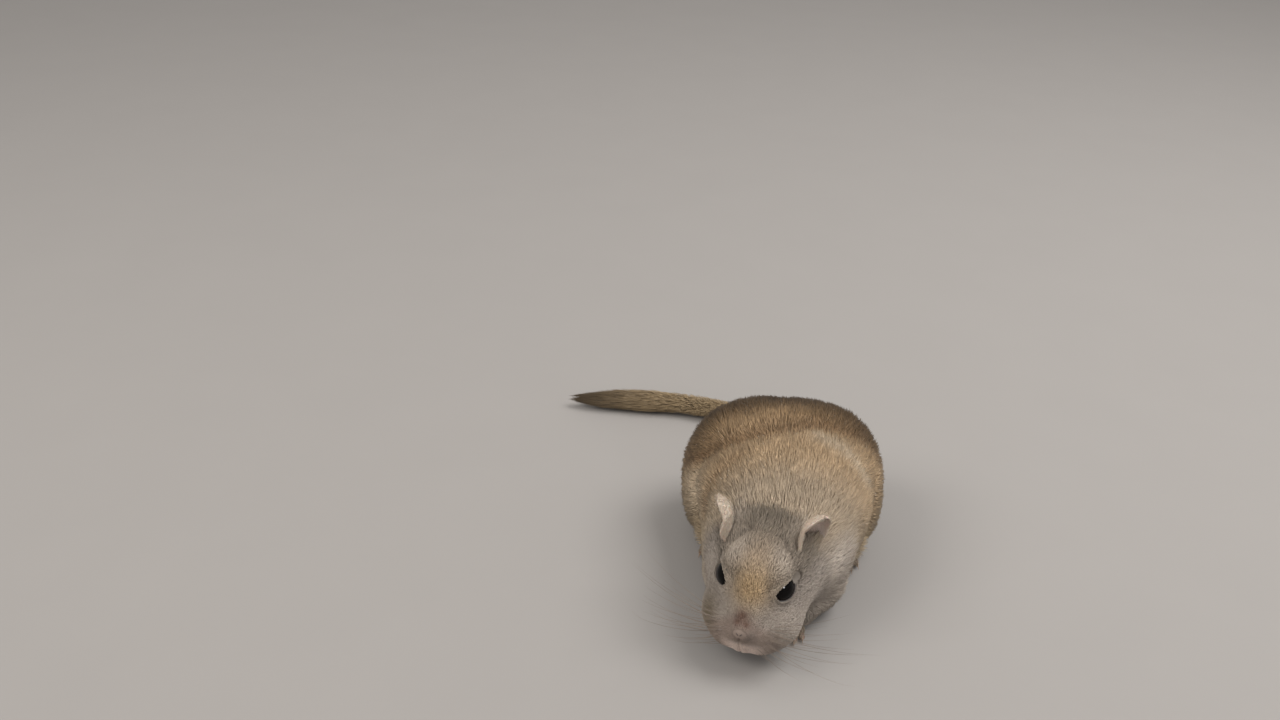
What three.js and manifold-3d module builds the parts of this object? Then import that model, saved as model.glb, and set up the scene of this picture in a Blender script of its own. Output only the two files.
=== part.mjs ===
// A gerbil, crouched with its nose near the ground and its tail laid round to its right: a life-size model.
// Millimetres, +Z up. It faces -Y, its left side is +X, and its soles, toes and tail rest on Z = 0.
// The flesh is one smooth form, blended from balls and tapered limbs. It is meshed, then parted with thin
// cuts into the pieces a person would name. Toes, claws, ears and tail are lofts joined to it or set against it.
import * as THREE from "three";
import { mergeVertices } from "three/addons/utils/BufferGeometryUtils.js";
import Module from "manifold-3d";

const wasm = await Module();
wasm.setup();

// Driving dimensions
const haunchWidth = 60; // across the thighs, fur included
const backHeight = 44.5; // floor to the top of the rounded back
const chestWidth = 42;
const headWidth = 25; // across the cheeks
const earLength = 12.2;
const earWidth = 9.8;
const eyeRadius = 3.7;
const hindFootLength = 27;
const foreFootLength = 9.4;
const tailRadius = 4.5; // at the root, fur included
const gap = 0.3; // between any two pieces that touch

// The middle of the whole outline seen from above, tail included. It is drawn onto the origin at the end.
const middle = new THREE.Vector3(-20.743, 22.424, 0);

// Mesh steps, finer where the form is finer
const trunkStep = 4.4;
const legStep = 3.3;
const armStep = 2.8;
const headStep = 1.75;
const pawStep = 1.5;
const footStep = 1.9;

// The head's place and turn. Its own frame faces -Y with +Z up, from a point between the eyes and ears.
const headCentre = new THREE.Vector3(-6.6, -23.6, 21.5);
const headPitch = 15; // degrees, nose down
const headYaw = -17; // degrees, towards its own right
const headFrame = new THREE.Matrix4()
  .makeRotationFromEuler(
    new THREE.Euler(rad(headPitch), 0, rad(headYaw), "ZXY"),
  )
  .setPosition(headCentre);

// Colours, from the coat and skin
const fawn = new THREE.MeshStandardMaterial({ color: 0xa08b70, roughness: 0.9, metalness: 0 });
const greyFawn = new THREE.MeshStandardMaterial({ color: 0x968a7c, roughness: 0.9, metalness: 0 });
const paleFur = new THREE.MeshStandardMaterial({ color: 0xb8a68f, roughness: 0.9, metalness: 0 });
const pinkSkin = new THREE.MeshStandardMaterial({ color: 0xb99484, roughness: 0.6, metalness: 0 });
const eyeBlack = new THREE.MeshStandardMaterial({ color: 0x0b0806, roughness: 0.08, metalness: 0 });
const tailFur = new THREE.MeshStandardMaterial({ color: 0x6c5d48, roughness: 0.9, metalness: 0 });

function rad(degrees) {
  return (degrees * Math.PI) / 180;
}

// Forms: each gives the signed distance from a point to its surface, negative inside

function ball([cx, cy, cz], [rx, ry, rz]) {
  return (x, y, z) => {
    const px = (x - cx) / rx;
    const py = (y - cy) / ry;
    const pz = (z - cz) / rz;
    const k0 = Math.hypot(px, py, pz);
    const k1 = Math.hypot(px / rx, py / ry, pz / rz);
    return k1 > 1e-9 ? (k0 * (k0 - 1)) / k1 : -Math.min(rx, ry, rz);
  };
}

function limb([ax, ay, az], [bx, by, bz], ra, rb) {
  const [dx, dy, dz] = [bx - ax, by - ay, bz - az];
  const l2 = dx * dx + dy * dy + dz * dz;
  const rr = ra - rb;
  const a2 = l2 - rr * rr;
  return (x, y, z) => {
    const [px, py, pz] = [x - ax, y - ay, z - az];
    const along = px * dx + py * dy + pz * dz;
    const beyond = along - l2;
    const [cx, cy, cz] = [px * l2 - dx * along, py * l2 - dy * along, pz * l2 - dz * along];
    const x2 = cx * cx + cy * cy + cz * cz;
    const y2 = along * along * l2;
    const z2 = beyond * beyond * l2;
    const k = Math.sign(rr) * rr * rr * x2;
    if (Math.sign(beyond) * a2 * z2 > k) return Math.sqrt(x2 + z2) / l2 - rb;
    if (Math.sign(along) * a2 * y2 < k) return Math.sqrt(x2 + y2) / l2 - ra;
    return (Math.sqrt((x2 * a2) / l2) + along * rr) / l2 - ra;
  };
}

// Joins forms with a soft fillet about as wide as the blend
function blended(parts) {
  return (x, y, z) => {
    let d = parts[0].form(x, y, z);
    for (let i = 1; i < parts.length; i++) {
      const { form, blend } = parts[i];
      const e = form(x, y, z);
      const h = Math.max(blend - Math.abs(d - e), 0) / blend;
      d = Math.min(d, e) - (h * h * blend) / 4;
    }
    return d;
  };
}

// Lowers a form in a soft valley along a line of places
function creased(form, line, deep, wide) {
  const places = line.map((p) => new THREE.Vector3(...p));
  const spans = places.slice(1).map((end, i) => new THREE.Line3(places[i], end));
  const point = new THREE.Vector3();
  const nearest = new THREE.Vector3();
  return (x, y, z) => {
    point.set(x, y, z);
    let gapSquared = Infinity;
    for (const span of spans) {
      span.closestPointToPoint(point, true, nearest);
      gapSquared = Math.min(gapSquared, nearest.distanceToSquared(point));
    }
    return form(x, y, z) + deep * Math.exp(-gapSquared / wide ** 2);
  };
}

function placed(form, frame) {
  const m = frame.clone().invert().elements;
  return (x, y, z) =>
    form(
      m[0] * x + m[4] * y + m[8] * z + m[12],
      m[1] * x + m[5] * y + m[9] * z + m[13],
      m[2] * x + m[6] * y + m[10] * z + m[14],
    );
}

// The forequarters curve towards the animal's right
const bend = (y) => -0.1 * Math.max(5 - y, 0) - 0.003 * Math.max(5 - y, 0) ** 2;

const bothSides = (make) => [1, -1].flatMap((side) => make(side));

// Head, in its own frame
const skullForms = [
  { form: ball([0, 2, 0.5], [headWidth * 0.46, 13.2, 11]) },
  { form: limb([0, -5, -0.6], [0, -14.4, -4], 8.8, 6), blend: 5 },
  ...bothSides((side) => [
    { form: ball([side * 6.7, -2.2, -4.8], [headWidth / 2 - 6.2, 9.2, 7.2]), blend: 6 },
    { form: ball([side * 7.5, -9.4, -7.4], [6.2, 8.2, 6.2]), blend: 4 },
    { form: ball([side * 5.8, -4.6, 5.3], [4.2, 4.9, 4.3]), blend: 2 },
    { form: ball([side * 4.2, -14.8, -7.7], [5.2, 5.7, 5]), blend: 3 },
  ]),
  { form: ball([0, -15.6, -8.4], [3.6, 4.5, 4.4]), blend: 2.5 },
  { form: limb([0, -3, -7.6], [0, -12.8, -10.2], 6.4, 3.2), blend: 3 },
  { form: ball([0, -18.9, -2.2], [2.4, 1.9, 1.9]), blend: 1.8 },
];
const headForm = placed(blended(skullForms), headFrame);

// Trunk and neck: rump, loin and ribs under one arched back, narrowing to the throat
const trunkForm = blended([
  { form: ball([0, 20, backHeight * 0.515], [haunchWidth * 0.44, 21, backHeight * 0.485]) },
  ...bothSides((side) => [
    {
      form: ball([side * 10, 24, backHeight * 0.475], [haunchWidth / 2 - 11, 17.5, backHeight * 0.435]),
      blend: 6,
    },
  ]),
  { form: ball([0, 5, backHeight * 0.515], [haunchWidth * 0.415, 22, backHeight * 0.46]), blend: 8 },
  { form: ball([bend(-10), -10, backHeight * 0.43], [chestWidth * 0.47, 17, backHeight * 0.385]), blend: 10 },
  { form: limb([bend(-12), -12, 20.5], [bend(-21), -20.5, 21.5], 15.5, 12.4), blend: 9 },
  { form: headForm, blend: 5 },
]);

// Where the body is hunched, the coat folds across the loin, between the ribs and the rump
const backCrease = [
  [-28.4, 16, 25.6],
  [-19.5, 8.8, 37.3],
  [-10.5, 7.3, 42.4],
  [-1.2, 9.2, 44.4],
  [8.4, 12.8, 43.7],
  [16, 15.9, 41],
  [24.2, 20.5, 35.1],
];
const bodyForm = creased(trunkForm, backCrease, 1.8, 4.2);

// Legs: the thigh and shoulder stand a little proud of the flank, and the shin and forearm fold under them
const legForm = (side) =>
  blended([
    { form: ball([side * (haunchWidth / 2 - 9.4), 20, 16], [9.4, 16, 15]) },
    { form: limb([side * 18.5, 6, 9], [side * 17.6, 27, 5.5], 6, 4.2), blend: 4 },
  ]);
const foreFootX = (side) => bend(-22) + side * 9.4;
const armForm = (side) => {
  const wider = side > 0 ? 1 : 0; // the left forearm is set a little further out
  return blended([
    { form: ball([bend(-11) + side * 12.4, -11, 15], [7.8, 10.5, 12.5]) },
    {
      form: limb([bend(-13) + side * 12.5 + wider, -13.5, 9], [foreFootX(side) + wider, -20.8, 5], 6.3, 4.1),
      blend: 4,
    },
  ]);
};

// Surface nets: one vertex in each cell that the surface crosses, one quad for each crossed edge of the grid.
// offset grows the form outwards. The grid's rim counts as outside, so the mesh is always closed.
function meshed(form, low, high, step, offset = 0) {
  const n = low.map((l, axis) => Math.ceil((high[axis] - l) / step) + 1);
  const at = (i, j, k) => i + n[0] * (j + n[1] * k);
  const value = new Float64Array(n[0] * n[1] * n[2]);
  for (let k = 0; k < n[2]; k++)
    for (let j = 0; j < n[1]; j++)
      for (let i = 0; i < n[0]; i++) {
        const d = form(low[0] + i * step, low[1] + j * step, low[2] + k * step) - offset;
        const rim = !i || !j || !k || i === n[0] - 1 || j === n[1] - 1 || k === n[2] - 1;
        value[at(i, j, k)] = rim ? Math.max(d, step / 2) : d;
      }

  const corners = [0, 1, 2, 3, 4, 5, 6, 7].map((c) => [c & 1, (c >> 1) & 1, c >> 2]);
  const edges = corners.flatMap((a, ia) =>
    corners
      .slice(ia + 1)
      .filter((b) => Math.abs(a[0] - b[0]) + Math.abs(a[1] - b[1]) + Math.abs(a[2] - b[2]) === 1)
      .map((b) => [a, b]),
  );
  const vertexOf = new Int32Array(value.length).fill(-1);
  const positions = [];
  for (let k = 0; k < n[2] - 1; k++)
    for (let j = 0; j < n[1] - 1; j++)
      for (let i = 0; i < n[0] - 1; i++) {
        const sum = [0, 0, 0];
        let crossings = 0;
        for (const [a, b] of edges) {
          const va = value[at(i + a[0], j + a[1], k + a[2])];
          const vb = value[at(i + b[0], j + b[1], k + b[2])];
          if (va < 0 === vb < 0) continue;
          const t = va / (va - vb);
          for (let axis = 0; axis < 3; axis++) sum[axis] += a[axis] + t * (b[axis] - a[axis]);
          crossings++;
        }
        if (!crossings) continue;
        const cell = [i, j, k];
        vertexOf[at(i, j, k)] = positions.length / 3;
        const point = cell.map((c, axis) => low[axis] + (c + sum[axis] / crossings) * step);
        positions.push(...settled(point, form, offset, step));
      }

  const index = [];
  const quad = (a, b, c, d, outward) => {
    const corner = (v) => new THREE.Vector3().fromArray(positions, v * 3);
    const shortAC = corner(a).distanceTo(corner(c)) <= corner(b).distanceTo(corner(d));
    const faces = shortAC ? [a, b, c, a, c, d] : [a, b, d, b, c, d];
    index.push(...(outward ? faces : faces.reverse()));
  };
  for (let k = 0; k < n[2] - 1; k++)
    for (let j = 0; j < n[1] - 1; j++)
      for (let i = 0; i < n[0] - 1; i++) {
        const inside = value[at(i, j, k)] < 0;
        const v = (di, dj, dk) => vertexOf[at(i - di, j - dj, k - dk)];
        if (j && k && inside !== value[at(i + 1, j, k)] < 0)
          quad(v(0, 1, 1), v(0, 0, 1), v(0, 0, 0), v(0, 1, 0), inside);
        if (i && k && inside !== value[at(i, j + 1, k)] < 0)
          quad(v(1, 0, 1), v(1, 0, 0), v(0, 0, 0), v(0, 0, 1), inside);
        if (i && j && inside !== value[at(i, j, k + 1)] < 0)
          quad(v(1, 1, 0), v(0, 1, 0), v(0, 0, 0), v(1, 0, 0), inside);
      }
  return solidFrom(positions, index);
}

// The slope of a form at a point, outwards
function slope(form, [x, y, z], h = 0.05) {
  return [
    (form(x + h, y, z) - form(x - h, y, z)) / (2 * h),
    (form(x, y + h, z) - form(x, y - h, z)) / (2 * h),
    (form(x, y, z + h) - form(x, y, z - h)) / (2 * h),
  ];
}

// Moves a point that is within reach of the surface onto it
function settled(point, form, offset = 0, reach = Infinity) {
  let p = [...point];
  for (let turn = 0; turn < 3; turn++) {
    const d = form(...p) - offset;
    if (Math.abs(d) > reach * 0.7) return point;
    const g = slope(form, p);
    const g2 = g[0] * g[0] + g[1] * g[1] + g[2] * g[2];
    p = p.map((c, axis) => c - (d * g[axis]) / Math.max(g2, 0.1));
  }
  return p;
}

// Solids

function solidFrom(positions, index) {
  return new wasm.Manifold(
    new wasm.Mesh({
      numProp: 3,
      vertProperties: new Float32Array(positions),
      triVerts: new Uint32Array(index),
    }),
  );
}

function solidOf(geometry) {
  const bare = new THREE.BufferGeometry();
  bare.setAttribute("position", geometry.getAttribute("position").clone());
  if (geometry.index) bare.setIndex(geometry.index.clone());
  const merged = mergeVertices(bare, 1e-4);
  return solidFrom(merged.attributes.position.array, merged.index.array);
}

function largest(solid) {
  return solid.decompose().reduce((a, b) => (b.volume() > a.volume() ? b : a));
}

const joined = (solids) => solids.reduce((a, b) => a.add(b));

// Draws the ends of every very short edge together, so that cuts leave no slivers. The mesh stays closed.
function withoutSlivers(positions, index, reach = 0.14) {
  const at = (v) => new THREE.Vector3().fromArray(positions, v * 3);
  const faces = [];
  for (let i = 0; i < index.length; i += 3) faces.push([index[i], index[i + 1], index[i + 2]]);
  const around = new Map();
  faces.forEach((face, f) => face.forEach((v) => around.set(v, (around.get(v) ?? new Set()).add(f))));
  const ring = (v) => new Set([...around.get(v)].flatMap((f) => faces[f]).filter((w) => w !== v));
  const normal = (face) => {
    const [a, b, c] = face.map(at);
    return b.sub(a).cross(c.sub(a));
  };
  const drawTogether = (keep, drop) => {
    const [keepRing, dropRing] = [ring(keep), ring(drop)];
    const common = [...keepRing].filter((v) => dropRing.has(v));
    if (common.length !== 2 || keepRing.size < 4 || dropRing.size < 4) return false;
    const moved = [...around.get(drop)].filter((f) => !faces[f].includes(keep));
    for (const f of moved) {
      const before = normal(faces[f]);
      const after = normal(faces[f].map((v) => (v === drop ? keep : v)));
      if (after.length() < 1e-4) return false;
      if (before.length() > 1e-3 && before.normalize().dot(after.normalize()) < 0.5) return false;
    }
    for (const f of [...around.get(drop)]) {
      if (faces[f].includes(keep)) {
        faces[f].forEach((v) => around.get(v).delete(f));
        faces[f] = [];
      } else {
        faces[f] = faces[f].map((v) => (v === drop ? keep : v));
        around.get(keep).add(f);
      }
    }
    around.get(drop).clear();
    return true;
  };
  for (let pass = 0; pass < 4; pass++)
    for (let f = 0; f < faces.length; f++)
      for (let e = 0; e < 3 && faces[f].length; e++) {
        const [a, b] = [faces[f][e], faces[f][(e + 1) % 3]];
        if (at(a).distanceTo(at(b)) < reach && (drawTogether(a, b) || drawTogether(b, a))) break;
      }
  return faces.flat();
}

function nodeOf(name, solid, material) {
  const mesh = largest(solid).getMesh();
  const index = withoutSlivers(mesh.vertProperties, mesh.triVerts);
  const geometry = new THREE.BufferGeometry();
  geometry.setAttribute("position", new THREE.BufferAttribute(new Float32Array(mesh.vertProperties), 3));
  geometry.setIndex(index);
  geometry.computeVertexNormals();
  const made = new THREE.Mesh(geometry, material);
  made.name = name;
  return made;
}

// Everything on the side of a plane that its normal points to
function beyond(point, normal) {
  const size = 300;
  const box = new THREE.BoxGeometry(size, size, size).translate(0, 0, size / 2);
  const turn = new THREE.Quaternion().setFromUnitVectors(
    new THREE.Vector3(0, 0, 1),
    new THREE.Vector3(...normal).normalize(),
  );
  return solidOf(box.applyQuaternion(turn).translate(...point));
}

function ballSolid([x, y, z], [rx, ry, rz], sides = 24, rings = 16, turn = new THREE.Euler()) {
  const sphere = new THREE.SphereGeometry(1, sides, rings).scale(rx, ry, rz);
  return solidOf(sphere.applyMatrix4(new THREE.Matrix4().makeRotationFromEuler(turn)).translate(x, y, z));
}

// A closed tube with round ends along a curve. radiusAt gives [across, through] at each share of its length,
// and up is the way that its thickness faces.
function tube(points, radiusAt, { sides = 8, steps = 8, up = [0, 0, 1] } = {}) {
  const curve = new THREE.CatmullRomCurve3(points.map((p) => new THREE.Vector3(...p)), false, "centripetal");
  const positions = [];
  for (let s = 1; s < steps; s++) {
    const share = s / steps;
    const centre = curve.getPointAt(share);
    const tangent = curve.getTangentAt(share);
    const across = new THREE.Vector3(...up).cross(tangent).normalize();
    const through = tangent.clone().cross(across);
    const [ra, rt] = radiusAt(share);
    for (let i = 0; i < sides; i++) {
      const angle = (i / sides) * 2 * Math.PI;
      const spot = centre
        .clone()
        .addScaledVector(across, ra * Math.cos(angle))
        .addScaledVector(through, rt * Math.sin(angle));
      positions.push(...spot.toArray());
    }
  }
  const first = positions.length / 3;
  positions.push(...curve.getPointAt(0).toArray(), ...curve.getPointAt(1).toArray());
  const rings = steps - 1;
  const index = [];
  for (let i = 0; i < sides; i++) {
    const next = (i + 1) % sides;
    index.push(first, next, i);
    index.push(first + 1, (rings - 1) * sides + i, (rings - 1) * sides + next);
    for (let r = 0; r + 1 < rings; r++) {
      const [a, b] = [r * sides + i, r * sides + next];
      index.push(a, b, b + sides, a, b + sides, a + sides);
    }
  }
  const geometry = new THREE.BufferGeometry();
  geometry.setAttribute("position", new THREE.Float32BufferAttribute(positions, 3));
  geometry.setIndex(index);
  return solidOf(geometry);
}

// Cutting places
const floor = beyond([0, 0, 0], [0, 0, 1]);
const headTurned = new THREE.Matrix3().setFromMatrix4(headFrame);
const inHead = (x, y, z) => new THREE.Vector3(x, y, z).applyMatrix4(headFrame).toArray();
const headWay = (x, y, z) => new THREE.Vector3(x, y, z).applyMatrix3(headTurned).normalize().toArray();
const stepAlong = (point, way, distance) => point.map((c, axis) => c + way[axis] * distance);
const back = (way) => way.map((c) => -c);

const napeWay = headWay(0, -0.84, 0.54);
const napeSpot = inHead(0, 9, 3);
const collarWay = [0.05, -0.94, 0.3];
const collarSpot = [-1.5, -11, 22];

const headLow = [-22, -52, -3];
const headHigh = [18, 2, 42];
const head = meshed(bodyForm, headLow, headHigh, headStep);
const trunk = meshed(bodyForm, [-36, -54, -3], [36, 48, 52], trunkStep).intersect(floor);
const headReach = (grow) => meshed(headForm, headLow, headHigh, 2.6, 1.6 + grow);

const thigh = (side, grow = 0) =>
  meshed(legForm(side), [side > 0 ? 8 : -34, -16, -3], [side > 0 ? 34 : -8, 40, 38], legStep, grow)
    .intersect(beyond([side * (14 - grow), 0, 0], [side, 0, 0]))
    .intersect(floor);
const innerArmWay = (side) => [side * 12, side * (bend(-23) - bend(-11)) - 1.5, 0];
const arm = (side, grow = 0) =>
  meshed(armForm(side), [side > 0 ? -6 : -32, -36, -3], [side > 0 ? 26 : 0, 4, 34], armStep, grow)
    .intersect(beyond([bend(-23) + side * (5.2 - grow), -23, 0], innerArmWay(side)))
    .intersect(floor);

// Head: lids, mouth line and nostrils
const eyeSpot = (side) => inHead(side * 6.75, -6.6, 3.3);
const eyeWay = (side) => headWay(side * 0.83, -0.36, 0.42);

function lidRing(side) {
  const centre = eyeSpot(side);
  const shell = ballSolid(centre, [eyeRadius + 0.95, eyeRadius + 0.95, eyeRadius + 0.95], 20, 12);
  return shell.subtract(beyond(stepAlong(centre, eyeWay(side), eyeRadius * 0.86), eyeWay(side)));
}

// The almond between the lids, as a wedge that widens outwards
function lidOpening(side) {
  const way = new THREE.Vector3(...eyeWay(side));
  const length = 10;
  const slit = new THREE.SphereGeometry(1, 16, 10).scale(3.3, 2.35, length);
  const along = new THREE.Vector3(...headWay(0, -1, 0));
  const through = way.clone();
  along.addScaledVector(through, -along.dot(through)).normalize();
  const across = through.clone().cross(along);
  const basis = new THREE.Matrix4().makeBasis(along, across, through);
  const front = stepAlong(eyeSpot(side), eyeWay(side), length * 0.42);
  return solidOf(slit.applyMatrix4(basis).translate(...front));
}

const eyeball = (side, grow = 0) =>
  ballSolid(eyeSpot(side), [eyeRadius + grow, eyeRadius + grow, eyeRadius + grow], 20, 12);

const onHead = (x, y, z) => settled(inHead(x, y, z), headForm);
const groove = (width) => () => [width, width];

const philtrum = tube(
  [onHead(0, -20.6, -4.4), onHead(0, -20.2, -7.4), onHead(0, -17.6, -9.9)],
  groove(0.42),
  { sides: 6, steps: 6, up: [1, 0, 0] },
);
const mouthLine = (side) =>
  tube(
    [
      onHead(0, -17.2, -10.1),
      onHead(side * 2.6, -15.8, -10.6),
      onHead(side * 5.2, -12.8, -10.2),
      onHead(side * 6.6, -9.4, -9.2),
    ],
    groove(0.5),
    { sides: 6, steps: 12 },
  );
const nostril = (side) =>
  tube(
    [onHead(side * 1.0, -20.7, -2.5), onHead(side * 1.6, -20.3, -2.1), onHead(side * 2.2, -19.6, -1.8)],
    () => [0.55, 0.55],
    { sides: 8, steps: 6, up: [0, 0, 1] },
  );

const headSolid = head
  .intersect(headReach(0))
  .add(lidRing(1))
  .add(lidRing(-1))
  .intersect(beyond(stepAlong(napeSpot, napeWay, gap), napeWay))
  .subtract(eyeball(1, gap))
  .subtract(eyeball(-1, gap))
  .subtract(lidOpening(1))
  .subtract(lidOpening(-1))
  .subtract(philtrum)
  .subtract(joined([mouthLine(1), mouthLine(-1)]))
  .subtract(joined([nostril(1), nostril(-1)]))
  .intersect(floor);

// Ears: a shell rolled into a cup that opens outwards and forwards. The left ear sits a little further back.
const earSet = {
  1: { root: [9.4, 5.8, 6.9], up: [0.42, 0.33, 0.84], opening: [0.87, -0.46, 0.12] },
  [-1]: { root: [-10, 4.8, 6], up: [-0.45, 0.24, 0.86], opening: [-0.95, -0.3, 0.1] },
};

function ear(side) {
  const root = new THREE.Vector3(...inHead(...earSet[side].root));
  const up = new THREE.Vector3(...headWay(...earSet[side].up));
  const opening = new THREE.Vector3(...headWay(...earSet[side].opening));
  opening.addScaledVector(up, -opening.dot(up)).normalize();
  const across = up.clone().cross(opening);
  const rows = 10;
  const columns = 10;
  const sheet = (share, turn, inset) => {
    const roundTop = share > 0.75 ? Math.sqrt(1 - ((share - 0.75) / 0.27) ** 2) : 1;
    const width = (earWidth / 2) * (0.5 + 0.62 * Math.sin(Math.PI * (0.12 + 0.78 * share))) * roundTop;
    const roll = THREE.MathUtils.lerp(1.45, 0.9, Math.min(1, share * 1.6));
    const radius = Math.max(width / Math.sin(Math.min(roll, Math.PI / 2)), 0.6) - inset;
    const angle = turn * roll;
    return root
      .clone()
      .addScaledVector(up, (share * 1.0 - 0.12) * earLength)
      .addScaledVector(across, radius * Math.sin(angle))
      .addScaledVector(opening, -radius * Math.cos(angle) + width * 0.8)
      .toArray();
  };
  const thickness = 0.8;
  const positions = [];
  for (const inset of [0, thickness])
    for (let r = 0; r <= rows; r++)
      for (let c = 0; c <= columns; c++) positions.push(...sheet(r / rows, (2 * c) / columns - 1, inset));
  const layer = (rows + 1) * (columns + 1);
  const index = [];
  const wall = (a, b, c, d) => index.push(a, b, c, a, c, d);
  const spot = (r, c) => r * (columns + 1) + c;
  for (let r = 0; r < rows; r++)
    for (let c = 0; c < columns; c++) {
      wall(spot(r, c), spot(r, c + 1), spot(r + 1, c + 1), spot(r + 1, c));
      wall(layer + spot(r, c), layer + spot(r + 1, c), layer + spot(r + 1, c + 1), layer + spot(r, c + 1));
    }
  for (let c = 0; c < columns; c++) {
    wall(spot(0, c), layer + spot(0, c), layer + spot(0, c + 1), spot(0, c + 1));
    wall(spot(rows, c + 1), layer + spot(rows, c + 1), layer + spot(rows, c), spot(rows, c));
  }
  for (let r = 0; r < rows; r++) {
    wall(spot(r + 1, 0), layer + spot(r + 1, 0), layer + spot(r, 0), spot(r, 0));
    wall(spot(r, columns), layer + spot(r, columns), layer + spot(r + 1, columns), spot(r + 1, columns));
  }
  const geometry = new THREE.BufferGeometry();
  geometry.setAttribute("position", new THREE.Float32BufferAttribute(positions, 3));
  geometry.setIndex(index);
  const shell = solidOf(geometry);
  return shell.volume() < 0 ? solidOf(flipped(geometry)) : shell;
}

function flipped(geometry) {
  const turned = geometry.clone();
  const index = turned.index.array;
  for (let i = 0; i < index.length; i += 3) [index[i + 1], index[i + 2]] = [index[i + 2], index[i + 1]];
  return turned;
}

const headGrown = meshed(bodyForm, headLow, headHigh, 1.8, gap);

// Feet: a sole, toes fanned from it, and a claw on each toe. grow makes the same foot thicker all round.
function foot(shape, grow = 0) {
  const { heel, ball: pad, toes, toeLength, toeRadius, heelRadius, padRadius } = shape;
  const { clawLength, fan, turn, step } = shape;
  const sole = meshed(
    blended([
      { form: limb(heel, pad, heelRadius, padRadius) },
      { form: ball(pad, [padRadius * 1.25, padRadius * 1.2, padRadius * 0.9]), blend: 1.5 },
    ]),
    [Math.min(heel[0], pad[0]) - 7, Math.min(heel[1], pad[1]) - 7, -2],
    [Math.max(heel[0], pad[0]) + 7, Math.max(heel[1], pad[1]) + 7, 10],
    step,
    grow,
  );
  const pieces = [sole];
  for (let t = 0; t < toes; t++) {
    const place = t - (toes - 1) / 2;
    const heading = rad(turn + place * fan);
    const reach = toeLength * (1 - 0.13 * Math.abs(place) ** 1.4);
    const way = [Math.sin(heading), -Math.cos(heading), 0];
    const start = [pad[0] + place * padRadius * 0.55, pad[1] + Math.abs(place) * 0.5, pad[2] * 0.9];
    const knuckle = [start[0] + way[0] * reach * 0.5, start[1] + way[1] * reach * 0.5, toeRadius * 1.7];
    const tip = [start[0] + way[0] * reach, start[1] + way[1] * reach, toeRadius * 0.85];
    const thick = (s) => toeRadius * (1.12 - 0.3 * s) + grow;
    pieces.push(tube([start, knuckle, tip], (s) => [thick(s), thick(s)], { sides: 7, steps: 5 }));
    const clawRoot = stepAlong(tip, way, -toeRadius * 1.1);
    const half = clawLength * 0.5;
    const clawMiddle = [tip[0] + way[0] * half, tip[1] + way[1] * half, toeRadius * 1.05];
    const clawTip = [tip[0] + way[0] * (clawLength + grow), tip[1] + way[1] * (clawLength + grow), 0.25];
    const clawGirth = (s) => [0.42 * (1.05 - s) + grow, 0.5 * (1.05 - s) + grow];
    pieces.push(tube([clawRoot, clawMiddle, clawTip], clawGirth, { sides: 5, steps: 4 }));
  }
  return joined(pieces).intersect(floor);
}

const hindFoot = (side, grow) =>
  foot(
    {
      heel: [side * 17.6, 28, 2.8],
      ball: [side * 18, 28 - hindFootLength * 0.68, 2],
      toes: 5,
      toeLength: hindFootLength * 0.3,
      toeRadius: 1.05,
      heelRadius: 3.1,
      padRadius: 2.9,
      clawLength: 2.4,
      fan: 9,
      turn: side * 4,
      step: footStep,
    },
    grow,
  );
const foreFoot = (side, grow) =>
  foot(
    {
      heel: [foreFootX(side), -20.5, 2.6],
      ball: [foreFootX(side) - 0.8, -20.5 - foreFootLength * 0.4, 1.7],
      toes: 4,
      toeLength: foreFootLength * 0.48,
      toeRadius: 0.85,
      heelRadius: 2.3,
      padRadius: 2.3,
      clawLength: 2,
      fan: 13,
      turn: -12 + side * -3,
      step: pawStep,
    },
    grow,
  );

// Tail: laid on the floor, round to the animal's right, ending in a brush of longer hair
const tailPath = [
  [0, 37, 11],
  [0.5, 48, 8.6],
  [-1.5, 61.5, 5.5],
  [-10, 75, 4.4],
  [-26, 81.5, 4.1],
  [-43, 83, 3.95],
  [-60, 82.8, 3.65],
];
const tailPlaces = tailPath.map((p) => new THREE.Vector3(...p));
const tailCurve = new THREE.CatmullRomCurve3(tailPlaces, false, "centripetal");

function tailPiece(from, to) {
  const steps = Math.max(6, Math.round((to - from) * 26));
  const points = [];
  for (let s = 0; s <= steps; s++) {
    points.push(tailCurve.getPointAt(from + ((to - from) * s) / steps).toArray());
  }
  const thick = (share) => tailRadius * (1.02 - 0.2 * (from + (to - from) * share));
  return tube(points, (share) => [thick(share), thick(share)], { sides: 12, steps: steps + 2 });
}

const spineAt = (share) => tailCurve.getPointAt(share).toArray();
const tailWay = (share) => tailCurve.getTangentAt(share).toArray();
const tailCut = [0.36, 0.7];
const wholeTail = tailPiece(0, 1);
const afterCut = (share, shift) => beyond(stepAlong(spineAt(share), tailWay(share), shift), tailWay(share));
const beforeCut = (share) => beyond(spineAt(share), tailWay(share).map((c) => -c));

// The brush: the last of the tail tapers past its tip, and tapered locks stand off it in rings
const brushReach = 9;
const brushEnd = stepAlong(spineAt(1), tailWay(1), brushReach);
const brushCore = tube(
  [spineAt(tailCut[1] - 0.02), spineAt(0.8), spineAt(0.9), spineAt(1), brushEnd],
  (share) => {
    const girth = tailRadius * (0.88 + 0.12 * Math.sin(Math.PI * share)) * Math.sqrt(1 - share ** 3);
    return [girth, girth * 0.9];
  },
  { sides: 12, steps: 12 },
);

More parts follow.
